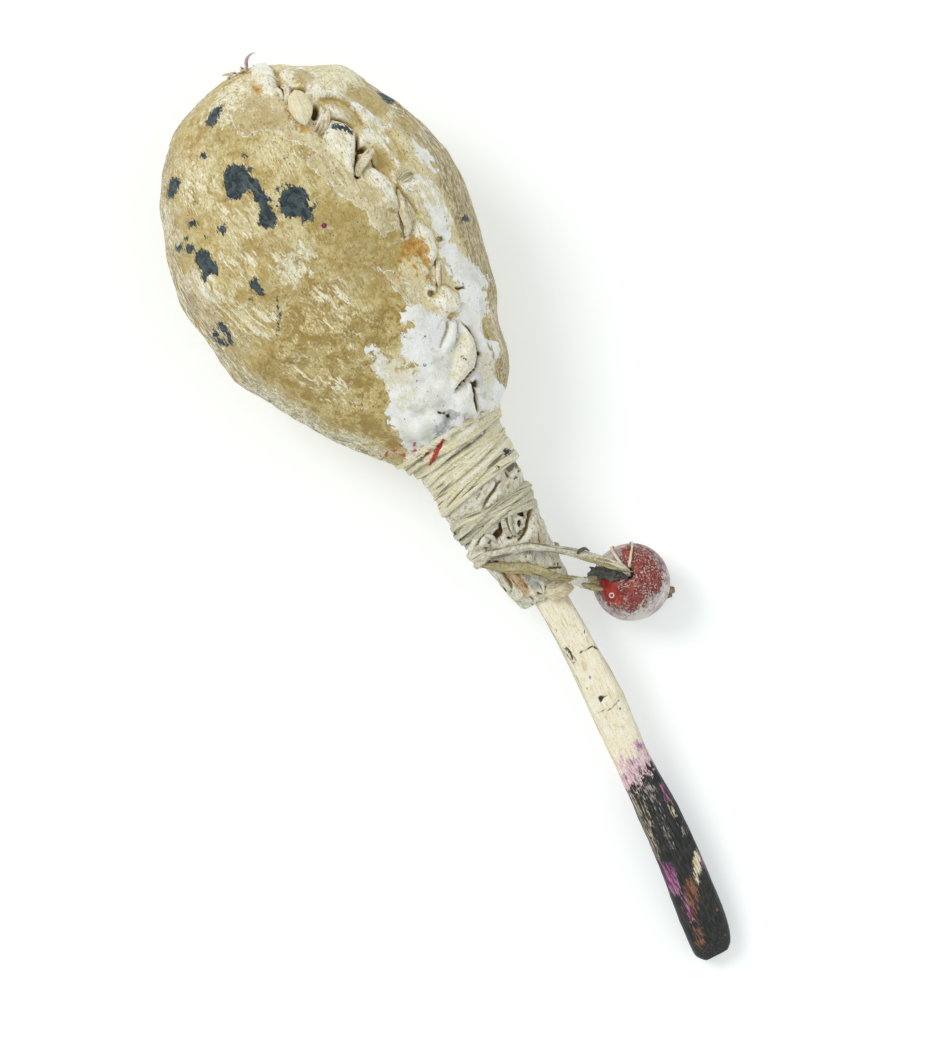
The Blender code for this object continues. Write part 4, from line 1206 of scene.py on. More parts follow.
    r.area("cream", [(-39.8, 98), (-31.5, 95.8), (-28.3, 85.6), (-23.9, 77.7), (-29.8, 69.8),
        (-36.6, 79.2), (-40.5, 88.4)], RUBBED_SPOT,
        [(-28, 122.5), (-20, 126.4), (-16.7, 115.6), (-24, 109.9), (-30.3, 112.2)],
        [(-6.8, 135.6), (-0.3, 139.6), (2.8, 139), (4.1, 132), (-2.6, 129.5), (-7.6, 131)],
        [(27.1, 128.9), (34.1, 120.4), (38.4, 109.3), (34.6, 104.3), (28.5, 114.2), (23.1, 125.6)],
        [(-3.8, 118.5), (4.5, 118.4), (7.7, 108.3), (2.1, 105.5), (-4.5, 111.8)],
        [(-44.3, 91.1), (-37.6, 82.6), (-34.5, 69.7), (-28, 55.1), (-19.2, 39.3), (-8.3, 27.3),
        (-14.8, 22.5), (-26.6, 38.9), (-41.1, 62.6), (-44.8, 80.3)])
    r.area("bleach", [(-14, 131.4), (-6, 137.4), (1, 141), (3.6, 140), (2.4, 136.4), (-3.4, 131.6),
        (-9, 128.6)], RUBBED_SPOT, [(-37.6, 97), (-33, 97), (-31.4, 90), (-33.4, 84), (-37.4, 87)],
        [(-38, 112), (-34, 118), (-33, 110), (-36.6, 104)],
        [(-37, 64), (-30, 56), (-22, 42), (-12, 28), (-16, 24), (-30, 42), (-40, 58)],
        [(28, 121), (32.6, 115.4), (35.4, 110.2), (33.4, 108.4), (29, 114), (26, 119.4)],
        [(35.6, 107.6), (38.6, 102), (37.6, 100), (33.6, 105), (30.6, 106.2), (31.2, 108.4)])
    r.area("hatch", [(-13, 131), (-5, 137), (1.6, 140), (3, 137), (-3, 131.4), (-9, 128.4)],
        [(-11.1, 73.6), (-4.4, 77.8), (-0.8, 75.2), (-2, 63.6), (-6.9, 63.7), (-11.4, 67.7)],
        [(-24.2, 61.4), (-19.8, 61.5), (-16.3, 55.6), (-10.4, 51), (-13.5, 46), (-16.5, 47.6),
        (-20.7, 53.9)],
        [(-3.6, 63.6), (-2.3, 61.4), (-4, 56.6), (-3.7, 54), (3.1, 51.3), (3.8, 49.4), (-4.4, 52.7),
        (-5.3, 57.3)],
        [(-34.2, 94.7), (-31.6, 91.5), (-29.4, 81.3), (-31.2, 76.6), (-34.5, 81.8), (-35.7, 88.9)],
        [(-21.3, 109), (-14.4, 107.6), (-12.3, 97.3), (-16.9, 94.9), (-21.5, 99.1)],
        [(-13, 94.4), (-5.2, 88.7), (-7.3, 81.7), (-12.5, 81.2), (-15.7, 86.1)],
        [(-28.7, 118.4), (-21.6, 121.8), (-22, 114.4), (-27.3, 112.5)],
        [(-27, 97), (-22, 99), (-18, 90), (-22, 84), (-27, 90)],
        [(-29, 76), (-24, 80), (-19, 76), (-24, 70)])
    r.area("tinge", [(-3.7, 50.8), (0.4, 49.7), (7.9, 45.4), (7.3, 43.2), (3.6, 42), (-2.6, 43.1),
        (-2.5, 47.2)], [(19.3, 59.1), (26, 60), (26.5, 55.4), (23.3, 52.6), (19.3, 55)],
        [(15.1, 39.3), (21.4, 45.4), (23.8, 47.9), (24.2, 42.4), (20.2, 38), (16, 36.4)],
        [(-2, 36.6), (2.6, 37.4), (5, 39.6), (0.2, 40.2), (-3, 39.4)],
        [(27, 36), (26, 41.4), (23.2, 36), (23.4, 31.6)])
    r.area("orange", [(17.4, 76), (21.6, 77.2), (24.4, 76.6), (24.6, 71.9), (23.3, 68.9), (21.3, 70.9),
        (19.2, 70.4), (18, 74)])
    r.strokes("orange", (0.6, [(9, 123.2), (8.8, 119.4), (9.6, 116.9), (12.3, 114.7)]),
        (0.5, [(3, 135.2), (3.6, 132.5), (5.4, 129.9)]),
        (0.5, [(19.7, 70.6), (19.9, 67.3), (21.5, 65.4), (23.6, 65)]))
    r.dots("orange", (14.2, 68.9, 0.6), (17.4, 72.6, 0.5))
    r.area("black", [(-14.3, 116.7), (-12.1, 117), (-10.3, 115.5), (-8.7, 115.1), (-8.9, 113.5),
        (-8.1, 110.4), (-7.3, 106.6), (-8.1, 101.7), (-7.7, 97.8), (-9, 96.3), (-11.7, 96.9), (-12.6, 99),
        (-11.6, 101.1), (-10.4, 102.8), (-10.9, 105.5), (-10.8, 107.9), (-12.4, 108), (-15.4, 107.5),
        (-17, 109.4), (-16.8, 112.7), (-15.6, 115.4)],
        [(-5.1, 101.8), (-3.4, 103.3), (-1.1, 103.7), (1.2, 103), (2.7, 101.1), (2.2, 98), (1.5, 95),
        (-0.2, 93.3), (-1.9, 95), (-4.6, 96.2), (-5.8, 98.9)],
        [(-8.8, 133.3), (-6.8, 133.2), (-8.4, 131.1), (-11.3, 129.2), (-13, 129.6), (-12.6, 131.4),
        (-10.8, 132.6)],
        [(-30.1, 122.1), (-28.1, 122.2), (-27, 121), (-28.8, 118.5), (-31.1, 117), (-32.4, 118.5),
        (-31.6, 120.4)],
        [(-32.6, 100.5), (-30.4, 101), (-29.3, 99.4), (-29.1, 96.8), (-28.8, 94.1), (-30.1, 92.2),
        (-31.9, 93.2), (-34.1, 92.6), (-34, 93.8), (-33.5, 96.8), (-33.6, 99)],
        [(-23.7, 103.5), (-21.3, 103.3), (-21.5, 101.6), (-23.5, 101.3), (-24.1, 102.5)],
        [(-22, 86.5), (-19.9, 86.2), (-20.2, 83.7), (-20.2, 81.4), (-21.2, 81.6), (-21.9, 83.3),
        (-22.8, 84.6)],
        [(-36.2, 81.4), (-34.3, 80.6), (-33.8, 76.5), (-34.5, 73.5), (-35.1, 74.6), (-35.3, 77.3),
        (-36.4, 79.6)], [(-37.9, 80.2), (-36.7, 77.9), (-35.9, 74.6), (-37.4, 75.5), (-38.3, 78.2)],
        [(16.3, 113.6), (18.1, 113.2), (19.8, 111.7), (21.1, 109.7), (20.9, 108.8), (19.4, 109.8),
        (17.7, 111.5), (16.4, 112.7)],
        [(33.2, 119.3), (35.4, 117.9), (36.7, 114.1), (35.2, 113.5), (33.8, 116)])
    r.dots("black", (-29.4, 108.3, 1.1), (-35.7, 104.5, 1), (-33.1, 102.6, 1.3), (-7.6, 117.6, 0.7),
        (-8.1, 113.3, 0.6), (-18.4, 109, 0.5), (-27.6, 102.9, 0.6), (1.5, 111.1, 0.2),
        (-28.7, 107.4, 0.6), (-23.9, 82, 0.5), (-32.8, 105.6, 0.7), (-18.3, 123.3, 0.9), (39.2, 75.7, 1),
        (29.7, 73.5, 0.3), (-26, 112.5, 0.45), (6.2, 41.5, 0.3), (7.5, 40.4, 0.25), (10.1, 44.6, 0.25),
        (19.7, 41.6, 0.35), (13.2, 51.6, 0.2), (-6.9, 103.4, 0.8), (-6.2, 100.8, 0.6), (3.2, 96.4, 0.7))
    r.strokes("black", (0.45, [(-4.9, 103.9), (-3.4, 104.9), (-1.4, 104.8), (0.4, 103.6)]),
        (0.28, [(-17.7, 79.8), (-19.4, 74.5), (-22.4, 70.1)]), (0.5, [(1.2, 95.6), (0.6, 92.6)]),
        (0.45, [(-1.2, 95.2), (-2, 92.8)]))
    r.dots("purple", (2.9, 90.1, 0.75))
    r.strokes("red", (0.5, [(-1.4, 24.5), (-3.6, 23.6), (-5.4, 22.4)]),
        (0.35, [(-1.4, 22.5), (0.6, 23.6)]), (0.35, [(-8.1, 26.6), (-5.8, 25.4)]),
        (0.3, [(-4.6, 26.2), (-2.2, 24.6)]), (0.35, [(-9.4, 28.6), (-7.6, 27.6)]))
    r.dots("red", (-2.8, 26.5, 0.5), (-6.1, 27.8, 0.45), (-10.6, 28, 0.5))
    r.dots("rust", (-20.3, 126.3, 3), (-35.8, 85.1, 4), (-32.8, 109.9, 3), (-39.5, 92, 3), (-14, 92, 2.6),
        (8.8, 75.6, 2.2), (-27, 66, 3), (2, 124, 2.2))
    r.strokes("rust", (1, [(1.2, 79), (6, 78.4), (8.8, 75.6), (9.6, 71.5)]))
    r.area("inner", [(3.4, -14.6), (7.4, -17), (7.6, -20.4), (7.2, -24.8), (5.6, -25.8), (4.2, -22.6),
        (3.4, -18.4)])
    r.area("bluish", [(7.6, -17.2), (12.4, -19.8), (11.8, -23.6), (9.2, -24.8), (7.6, -22.8)],
        [(11.6, -11.6), (14.6, -14.6), (17, -17.4), (12.8, -17), (10.2, -14)],
        [(3, 27.6), (8, 29.6), (12, 29.2), (9, 26.8), (4, 25.6)])
    r.topside("black", "orange", "hatch", "purple", "inner", "bluish", "cloud", "tan", "pale", "cream",
        "tinge", "bleach", "brown", "glaze", "gesso", "seamed", "rust", "red")


def make_head():
    """The head, empty inside, its neck and cuff, with the stick's channel through them."""
    y_rows, a_columns = head_rows(), head_columns(296)
    rows, columns = len(y_rows), len(a_columns)
    yy = np.repeat(y_rows, columns)
    aa = np.tile(a_columns, rows)
    points, outward = on_skin(yy, aa, 0.0)
    # Ways out of the surface that follow its slope along the head too.
    grid = points.reshape(rows, columns, 3)
    along = np.gradient(grid, axis=0)
    round_way = np.roll(grid, -1, axis=1) - np.roll(grid, 1, axis=1)
    outward = np.cross(round_way, along).reshape(-1, 3)
    outward /= np.linalg.norm(outward, axis=1)[:, None] + 1e-12
    up = np.cos(np.radians(aa))
    r = Relief(points[:, 0], points[:, 1], eased(up, -0.25, 0.12))
    seam_relief(r)
    neck_relief(r)
    head_colours(r)
    # The hide's own unevenness, its gathers at the neck, and its creased skin below them.
    swell = 0.9 * lumps(points, (17, 24, 17), 3, 2) + 0.34 * lumps(points, (4.5, 8, 4.5), 11, 3)
    swell *= eased(yy, 18, 40)
    gathers = np.sin(np.radians(aa) * 21 + 2.2 * lumps(points, 14, 5, 2))
    gathered = eased(yy, 17, 22) * (1 - eased(yy, 24, 44))
    swell += gathered * 0.55 * gathers
    neck = 1 - eased(yy, 9, 16)
    lean = math.radians(24)
    twisted = np.column_stack([points[:, 0] * math.cos(lean) + points[:, 1] * math.sin(lean),
        points[:, 1] * math.cos(lean) - points[:, 0] * math.sin(lean), points[:, 2]])
    wrinkles = 0.3 * lumps(twisted, (8.0, 1.5, 8.0), 21, 3) + 0.75 * (0.4 - np.abs(lumps(twisted,
        (11, 3.4, 11), 33, 2)))
    torn = 0.5 * lumps(points, (1.5, 8.0, 1.5), 23, 3) + 0.7 * (0.4 - np.abs(lumps(points, (2.6, 12, 2.6),
        35, 2)))
    share = eased(yy, -19, -11)
    swell += neck * (share * wrinkles + (1 - share) * torn + 0.12 * lumps(points, 0.9, 37, 2))
    height = swell + r.height
    level = height.reshape(rows, columns)
    around = level.copy()
    for _ in range(9):
        around = (np.roll(around, 1, axis=1) + 2 * around + np.roll(around, -1, axis=1)) / 4
        padded = np.pad(around, ((1, 1), (0, 0)), "edge")
        around = (padded[:-2] + 2 * around + padded[2:]) / 4
    # ridge is how far each point stands above its blurred surroundings, raised its relief height: the
    # finishes paint shade low down and in creases, and highlights high up and on ridges.
    r.fields["ridge"] = (level - around).ravel()
    r.fields["raised"] = np.clip(r.height, -2, 2)
    # Where the head turns down to its sides, for painted shade there.
    r.fields["shaded_flank"] = eased(0.72 - up, 0, 0.5) * eased(yy, 16, 30) * (0.25 + 0.75 * eased(up, -0.7, 0.0))
    r.fields["bare"] = 1 - eased(yy, 19.5, 22.5)
    points = points + outward * height[:, None]
    points[:, 2] = np.maximum(points[:, 2], 0.0)
    inner_rows = np.concatenate([np.linspace(CUFF_Y, 40, 12), np.linspace(48, WIDEST_Y, 6),
        WIDEST_Y + (TIP_Y - WALL - WIDEST_Y) * np.sin(np.linspace(0.2, 1.5, 8))])
    x, z, half, thick = skin_sections(np.minimum(inner_rows, TIP_Y - WALL - 1))
    closing = np.where(inner_rows > WIDEST_Y, 1.0, 0.0)
    stick_x, stick_half, stick_thick = smooth(STICK_STATIONS, np.minimum(inner_rows, 44)).T
    stick_z = STICK_Z_AT_0 + STICK_SLOPE * inner_rows
    share = eased(inner_rows, GATHER_TOP_Y, GATHER_TOP_Y + GATHER_FADE)
    cx = share * x + (1 - share) * stick_x
    cz = share * z + (1 - share) * stick_z
    hw = share * (half - WALL - closing) + (1 - share) * (stick_half + STICK_CLEARANCE)
    hh = share * (thick - WALL - closing) + (1 - share) * (stick_thick + STICK_CLEARANCE)
    a = np.radians(a_columns)
    inner = np.stack([cx[:, None] + hw[:, None] * np.sin(a), np.repeat(inner_rows[:, None], columns, 1),
        np.maximum(cz[:, None] + hh[:, None] * np.cos(a), WALL)], -1)
    all_points = np.concatenate([points, inner.reshape(-1, 3)])
    first_inner = rows * columns
    faces = [f[::-1] for f in grid_faces(rows, columns)]
    faces += grid_faces(len(inner_rows), columns, first_inner)
    after = [(k + 1) % columns for k in range(columns)]
    faces += [(k, n, first_inner + n, first_inner + k) for k, n in enumerate(after)]
    last = (rows - 1) * columns
    faces.append(tuple(last + k for k in range(columns))[::-1])
    last = first_inner + (len(inner_rows) - 1) * columns
    faces.append(tuple(last + k for k in range(columns)))
    extra = len(inner_rows) * columns
    fields = {}
    for name, values in r.fields.items():
        empty = 0.0 if name in ("hollow", "painted_highlight", "ridge", "raised", "shaded_flank", "bare") else OUTSIDE
        fields[name] = np.concatenate([values, np.full(extra, empty)])
    return piece("rawhide_head", all_points, faces, RAWHIDE, "rattle", ["head_skin"], fields)


make_head()


# ---------------------------------------------------------------- the stick
def make_stick():
    """The whittled stick, from its rounded butt to its end inside the head."""
    end = -143.0 + 6.0 * (1 - np.cos(np.linspace(0.10, math.pi / 2, 18)))
    y = np.concatenate([end, np.linspace(-136.6, -26.0, 200), np.linspace(-24.0, 45.0, 24)])
    x, half, thick = smooth(STICK_STATIONS, y).T
    # The end is rounded, with its far corner further back than the near one.
    rounding = np.clip((y + 143.1) / 4.6, 0.004, 1)
    half = half * (1 - 0.42 * (1 - rounding) ** 3.2)
    thick = thick * (0.42 + 0.58 * np.sqrt(rounding))
    x = x + 0.4 * (1 - rounding) ** 2
    z = STICK_Z_AT_0 + STICK_SLOPE * y
    count = 60
    a = np.linspace(0, 2 * math.pi, count, endpoint=False)
    turn = np.radians(6 * np.sin(y / 31))
    c = np.cos(a[None, :] + turn[:, None])
    s = np.sin(a[None, :] + turn[:, None])
    power = 2 / 3.2
    px = x[:, None] + half[:, None] * np.sign(c) * np.abs(c) ** power
    pz = z[:, None] + thick[:, None] * np.sign(s) * np.abs(s) ** power
    points = np.stack([px, np.repeat(y[:, None], count, 1), pz], -1).reshape(-1, 3)
    middle = np.repeat(np.column_stack([x, y, z]), count, axis=0)
    outward = points - middle
    outward /= np.linalg.norm(outward, axis=1)[:, None]
    r = Relief(points[:, 0], points[:, 1], eased(outward[:, 2], 0.0, 0.4))
    cuts = 0.34 * lumps(points, (4, 22, 4), 41, 2) + 0.12 * lumps(points, (1.0, 7, 1.0), 47, 3)
    r.crease([(10.9, -46.8), (13.3, -47.4), (16, -47.4), (16.7, -48.4), (18.2, -48.8)], 0.5, 0.34, 0.8)
    r.crease([(7.4, -64.9), (9.1, -64.7), (12, -65.5), (14.4, -64.8), (16.6, -63.6)], 0.35, 0.32, 0.62)
    r.crease([(8.9, -43.8), (9, -46), (8.7, -48.6)], 0.5, 0.4, 0.75)
    r.strokes("brown", (0.3, [(8.7, -44.4), (8.9, -46.4), (9, -48.4)]))
    r.crease([(7.7, -52), (7.6, -57.5)], 0.3, 0.3, 0.4)
    r.pit(11.2, -61.5, 0.85, 0.3, 1.3, 70, hollow=1.1)
    r.pit(12.6, -60.4, 0.5, 0.2, 1.7, 50, hollow=1.1)
    r.pit(13.8, -61.8, 0.25, 0.2, 2.4, -30, hollow=0.9)
    r.pit(14.6, -66.6, 0.3, 0.2, 2.2, 80, hollow=1)
    r.pit(8.6, -38.4, 0.25, 0.2, 2.4, 80, hollow=0.8)
    r.pit(11.1, -54.6, 0.22, 0.15, 2, 80, hollow=0.8)
    r.pit(8.9, -57.2, 0.22, 0.15, 2, 80, hollow=0.8)
    r.pit(15.6, -42.4, 0.25, 0.15, 2, 60, hollow=0.8)
    r.pit(9, -36.4, 0.3, 0.2, 1.8, 80, hollow=0.5)
    r.bump(15.8, -61, 1.2, 3.2, 0.5)
    r.dots("violet", (14, -78.6, 0.9), (10.8, -82.4, 0.8), (6.9, -84.6, 0.4), (11.6, -84.6, 0.5),
        (15.2, -85.4, 0.4))
    r.area("ash", [(11.8, -88.8), (13.2, -91.1), (11.9, -95.6), (10.7, -93.9), (10.3, -90.6)])
    r.strokes("ash", (0.4, [(11.3, -96), (10.9, -100.8), (10.4, -105.4), (10.1, -109.1)]),
        (0.3, [(15.4, -104), (15.2, -107)]))
    r.strokes("worn", (0.9, [(5.9, -89.4), (5.8, -93.9), (5.6, -99.2), (4.9, -104.4), (5.2, -109.6)]),
        (0.5, [(8.2, -90), (7.8, -95), (7, -101)]))
    r.area("magenta", [(5.2, -111.6), (7.2, -114.2), (6.4, -118.4), (5.4, -122), (4.2, -121), (4, -116)])
    r.strokes("magenta", (0.3, [(15.3, -91.6), (15.1, -94.2), (14.9, -97)]),
        (0.4, [(6.3, -121.7), (5.8, -127.7), (5.5, -132.2)]), (0.5, [(15.5, -115), (15.3, -118.9)]))
    r.area("brown", [(9.6, -117.4), (11, -122.5), (8.2, -128), (5.2, -131), (4.6, -128.8), (6.9, -122.7)])
    r.strokes("brown", (1, [(6, -131), (5, -136), (4.6, -139)]))
    r.area("cream", [(15.9, -112.7), (13.3, -115.4), (12.4, -118.5), (13.2, -119.7), (14.9, -116.8)])
    r.strokes("cream", (0.28, [(15, -97.2), (14.9, -99.6), (14.8, -101.8)]),
        (0.4, [(12.2, -118.5), (11.8, -122)]))
    r.dots("ember", (13.1, -131, 0.45), (12, -138.6, 0.3))
    r.topside("violet", "ash", "worn", "magenta", "brown", "cream", "ember")
    r.fields["slant"] = 1.6 - 0.444 * (points[:, 0] - 7.0)
    # Where the stick turns down at its sides, for painted shade there.
    r.fields["shaded_flank"] = 1 - eased(outward[:, 2], 0.15, 0.75)
    hidden = 1 - eased(points[:, 1], -40, -26)
    points = points + outward * ((cuts * hidden) + r.height)[:, None]
    points[:, 2] = np.maximum(points[:, 2], 0.05)
    faces = [f[::-1] for f in tube_faces(len(y), count)]
    return piece("whittled_stick", points, faces, WOOD, "rattle", ["handle_stick"], r.fields)


make_stick()


# ---------------------------------------------------------------- the neck's bindings
# Each binding's strips: where along the neck, how much its right side leads, width, lift.
UPPER_BAND = [
    (23.6, 1.6, 5.6, 0.26),
    (18.0, 2.8, 7.0, 0.24),
    (24.6, 0.9, 1.9, 0.55),
    (23.2, 1.6, 3.0, 0.34),
    (21.6, 2.4, 3.4, 0.52),
    (18.9, 2.6, 3.8, 0.36),
    (15.9, 3.3, 3.4, 0.60),
    (13.2, 2.9, 4.0, 0.42),
    (10.8, 3.7, 3.2, 0.66),
    (9.0, 3.1, 2.6, 0.40),
    (8.0, 2.9, 1.2, 0.72),
    (20.6, 4.4, 1.4, 0.92),
    (14.4, 4.1, 1.1, 1.00),
    (17.2, 1.7, 1.3, 0.90),
]
LOWER_BAND = [(0.9, 0.6, 2.3, 0.45), (-1.2, 0.9, 2.4, 0.60), (-3.2, 0.5, 2.2, 0.42), (0.2, 1.8, 1.1, 1.0)]


def make_binding(name, table, finish, stands_for, seed):
    """Flat fibrous strips laid round the neck, side by side and partly over each other."""
    random = np.random.default_rng(seed)
    degrees = np.linspace(180, -180, 170, endpoint=False)
    a = np.radians(degrees)
    for k, (middle, lead, width, lift) in enumerate(table):
        wave = 0.4 * np.sin(a * 2 + random.uniform(0, 6)) + 0.3 * np.sin(a * 3 + random.uniform(0, 6))
        y = middle + lead * np.sin(a) + wave
        rise = lift + 0.14 * np.sin(a * 2 + random.uniform(0, 6))
        line, outward = on_skin(y, degrees, rise)
        ahead = np.roll(line, -1, axis=0) - np.roll(line, 1, axis=0)
        sides = np.cross(ahead, outward)
        sides /= np.linalg.norm(sides, axis=1)[:, None]
        ripple = 1 + 0.16 * np.sin(a + random.uniform(0, 6)) + 0.10 * np.sin(3 * a + random.uniform(0, 6))
        round_count = 20 if width < 1.7 else 34
        points, faces, fields = strip(line, sides, outward, width * ripple, 0.85, round_count, True,
            seed + k, 0.13, 2.4, 0.5, 0.035)
        marks = Relief(points[:, 0], points[:, 1], eased(points[:, 2], 24, 30))
        marks.strokes("red", (0.75, [(5.6, 24.2), (3.8, 23.2), (1.6, 21.6), (-1.6, 19.6)]),
            (0.45, [(-1.8, 22.8), (-0.4, 22.6), (0.6, 23.4)]))
        marks.dots("black", (19.4, 12.9, 1.0), (20.2, 6.8, 0.5), (15.2, 10.2, 0.4))
        fields.update(marks.fields)
        replaced = stands_for if k == 0 else ()
        piece(f"{name}_{k + 1}", points, faces, finish, "rattle", replaced, fields)


make_binding("upper_band", UPPER_BAND, SINEW, ["upper_binding"], 100)
make_binding("lower_band", LOWER_BAND, GREY_SINEW, ["lower_binding"], 200)


# ---------------------------------------------------------------- stitches, leaf and tuft
def over(x, y, lift):
    """A point above the top of the skin at that place in plan."""
    cx, cz, half, thick = (v[0] for v in skin_sections([y]))
    z = cz + thick * math.sqrt(max(1 - ((x - cx) / half) ** 2, 0.0))
    return (x, y, z + lift)


def free_strip(route, widths, thicks, seed, twist=0.0, up=(0, 0, 1), groove=0.14, points_round=18, bow=0.0,
               steps=None, flatness=2.6, groove_size=0.4):
    """A strip along a smooth line through the route, with widths and thicknesses along it."""
    count = steps or max(14, 7 * len(route))
    line = through(route, count)
    share = np.linspace(0, 1, count)
    sides, ups = frames(line, up, twist * (share - 0.5))
    widths, thicks = (np.interp(share, np.linspace(0, 1, len(t)), t) for t in (widths, thicks))
    return strip(line, sides, ups, widths, thicks, points_round, False, seed, groove, flatness,
        groove_size, bow)


def strip_piece(name, finish, body, made, stands_for=()):
    """A piece from what strip or joined made."""
    points, faces, fields = made
    return piece(name, points, faces, finish, body, stands_for, fields)


def laid(name, finish, stands_for, *strips):
    """One piece of strips laid over the skin. Each has its route, as places in plan and lifts,
    and then its widths and thicknesses along it, its seed and its twist.
    """
    made = [free_strip([over(*place) for place in route], *rest) for route, *rest in strips]
    strip_piece(name, finish, "rattle", joined(made), stands_for)


laid("stitch_1", CHALKY, ["seam_thread"], ([(10.2, 130.2, -0.4), (10.8, 128.6, 1.0), (9.9, 126.4, 0.9),
    (8.6, 124.8, -0.3)], [1.2, 1.9, 1.7, 1.0], [0.8, 1.2, 1.0, 0.6], 301, 90), ([(8.4, 130.4, -0.3),
    (8.9, 128.2, 0.9), (8.6, 126.2, -0.2)], [0.8, 1.3, 0.8], [0.6, 0.9, 0.5], 307, 60))
laid("stitch_2", CHALKY, (), ([(18.6, 118.2, -0.2), (17.0, 116.4, 1.5), (14.9, 114.2, 1.5),
    (12.6, 112.8, 0.2)], [1.4, 2.2, 2.4, 1.6], [0.9, 1.5, 1.4, 0.8], 302, 200), ([(17.2, 118.6, -0.2),
    (15.6, 116.6, 1.2), (13.6, 115.2, 0.9), (12.2, 114.6, -0.2)], [0.8, 1.3, 1.3, 0.7],
    [0.7, 1.0, 0.9, 0.5], 308, 140))
laid("stitch_3", CHALKY, (), ([(23.8, 102.6, 0.2), (21.4, 101.5, 1.5), (19.2, 100.0, 1.3),
    (17.4, 98.1, -0.5)], [2.2, 2.5, 2.3, 1.5], [1.1, 1.5, 1.3, 0.8], 303, 150), ([(23.0, 103.4, 0.0),
    (20.6, 102.2, 1.0), (18.3, 100.4, 0.6), (17.0, 98.8, -0.4)], [0.7, 1.0, 1.0, 0.6],
    [0.5, 0.8, 0.8, 0.4], 309, 90))
laid("stitch_4", CHALKY, (), ([(25.4, 90.2, -0.4), (24.9, 87.6, 0.6), (23.9, 84.0, 0.7),
    (23.2, 80.4, 0.5), (21.7, 78.0, -0.7)], [1.0, 1.7, 2.3, 2.0, 1.0], [0.8, 1.2, 1.5, 1.3, 0.7], 304,
    120), ([(26.2, 87.0, -0.3), (25.2, 84.0, 0.7), (24.4, 80.6, 0.5), (22.8, 78.2, -0.5)],
    [0.6, 1.0, 1.0, 0.6], [0.5, 0.8, 0.8, 0.4], 310, 60))
laid("stitch_5", CHALKY, (), ([(26.4, 68.2, -0.5), (25.4, 66.0, 0.4), (24.2, 63.4, 0.3),
    (23.4, 61.4, -0.5)], [1.0, 1.7, 1.8, 1.0], [0.7, 1.1, 1.0, 0.6], 305, 90))
laid("thread_end", TAN_FIBRE, (), ([(26.6, 92.8, 0.4), (28.6, 93.6, 1.3), (30.6, 93.2, 1.1),
    (31.0, 92.2, 0.5)], [0.7, 1.1, 1.0, 0.7], [0.5, 0.8, 0.7, 0.5], 306, 60), ([(27.4, 91.6, 0.3),
    (29.2, 91.6, 1.0), (30.9, 92.0, 0.6)], [0.5, 0.7, 0.5], [0.4, 0.6, 0.4], 311, 60))


LEAF_LEFT = [(12.7, 127.4), (10.6, 126.3), (9.3, 124.3), (8.8, 122.0), (9.3, 119.3), (10.9, 116.6)]
LEAF_RIGHT = [(12.7, 127.4), (14.2, 126.2), (15.0, 123.5), (15.1, 120.9), (13.4, 118.3), (10.9, 116.6)]


def make_leaf():
    """The stiff lens of hide that stands in the seam, with a ridge down its middle."""
    rows, columns = 44, 48
    left, right = through(LEAF_LEFT, rows), through(LEAF_RIGHT, rows)
    across = np.cos(np.linspace(0, 2 * math.pi, columns, endpoint=False))
    top = np.sin(np.linspace(0, 2 * math.pi, columns, endpoint=False)) >= 0
    points, fields = [], {"along": [], "across": [], "relief": [], "rim": []}
    for k, (a, b) in enumerate(zip(left, right)):
        share = k / (rows - 1)
        narrow = math.sin(math.pi * min(max(share, 0.015), 0.985))
        for w, upper in zip(across, top):
            x, y = a + (b - a) * (0.5 + 0.5 * w)
            dome = 0.9 * (1 - w * w) * narrow**0.5
            rib = 0.42 * math.exp(-((w / 0.10) ** 2)) * narrow
            rib -= 0.22 * math.exp(-(((w - 0.24) / 0.16) ** 2)) * narrow
            level = over(x, y, 0.0)[2] + 1.0 + 1.5 * math.sin(math.pi * share) ** 0.8 + 0.5 * (0.5 - share)
            points.append((x, y, level + (dome + rib if upper else dome - 0.8 - 0.2 * narrow)))
            fields["along"].append(share * 11)
            fields["across"].append(w * 3 * narrow)
            # relief makes the rib a painted highlight, rim gives the edges painted shade.
            fields["relief"].append(0.9 * math.exp(-((w / 0.14) ** 2)) - 0.3)
            fields["rim"].append(abs(w) ** 2)
    points = np.array(points)
    points[:, 2] += 0.10 * lumps(points, (1.0, 3.0, 2.0), 71, 3)
    fields.update(unmarked(len(points)))
    faces = [f[::-1] for f in tube_faces(rows, columns)]
    return piece("seam_leaf_hide", points, faces, LEAF, "rattle", ["seam_leaf"], fields)


make_leaf()


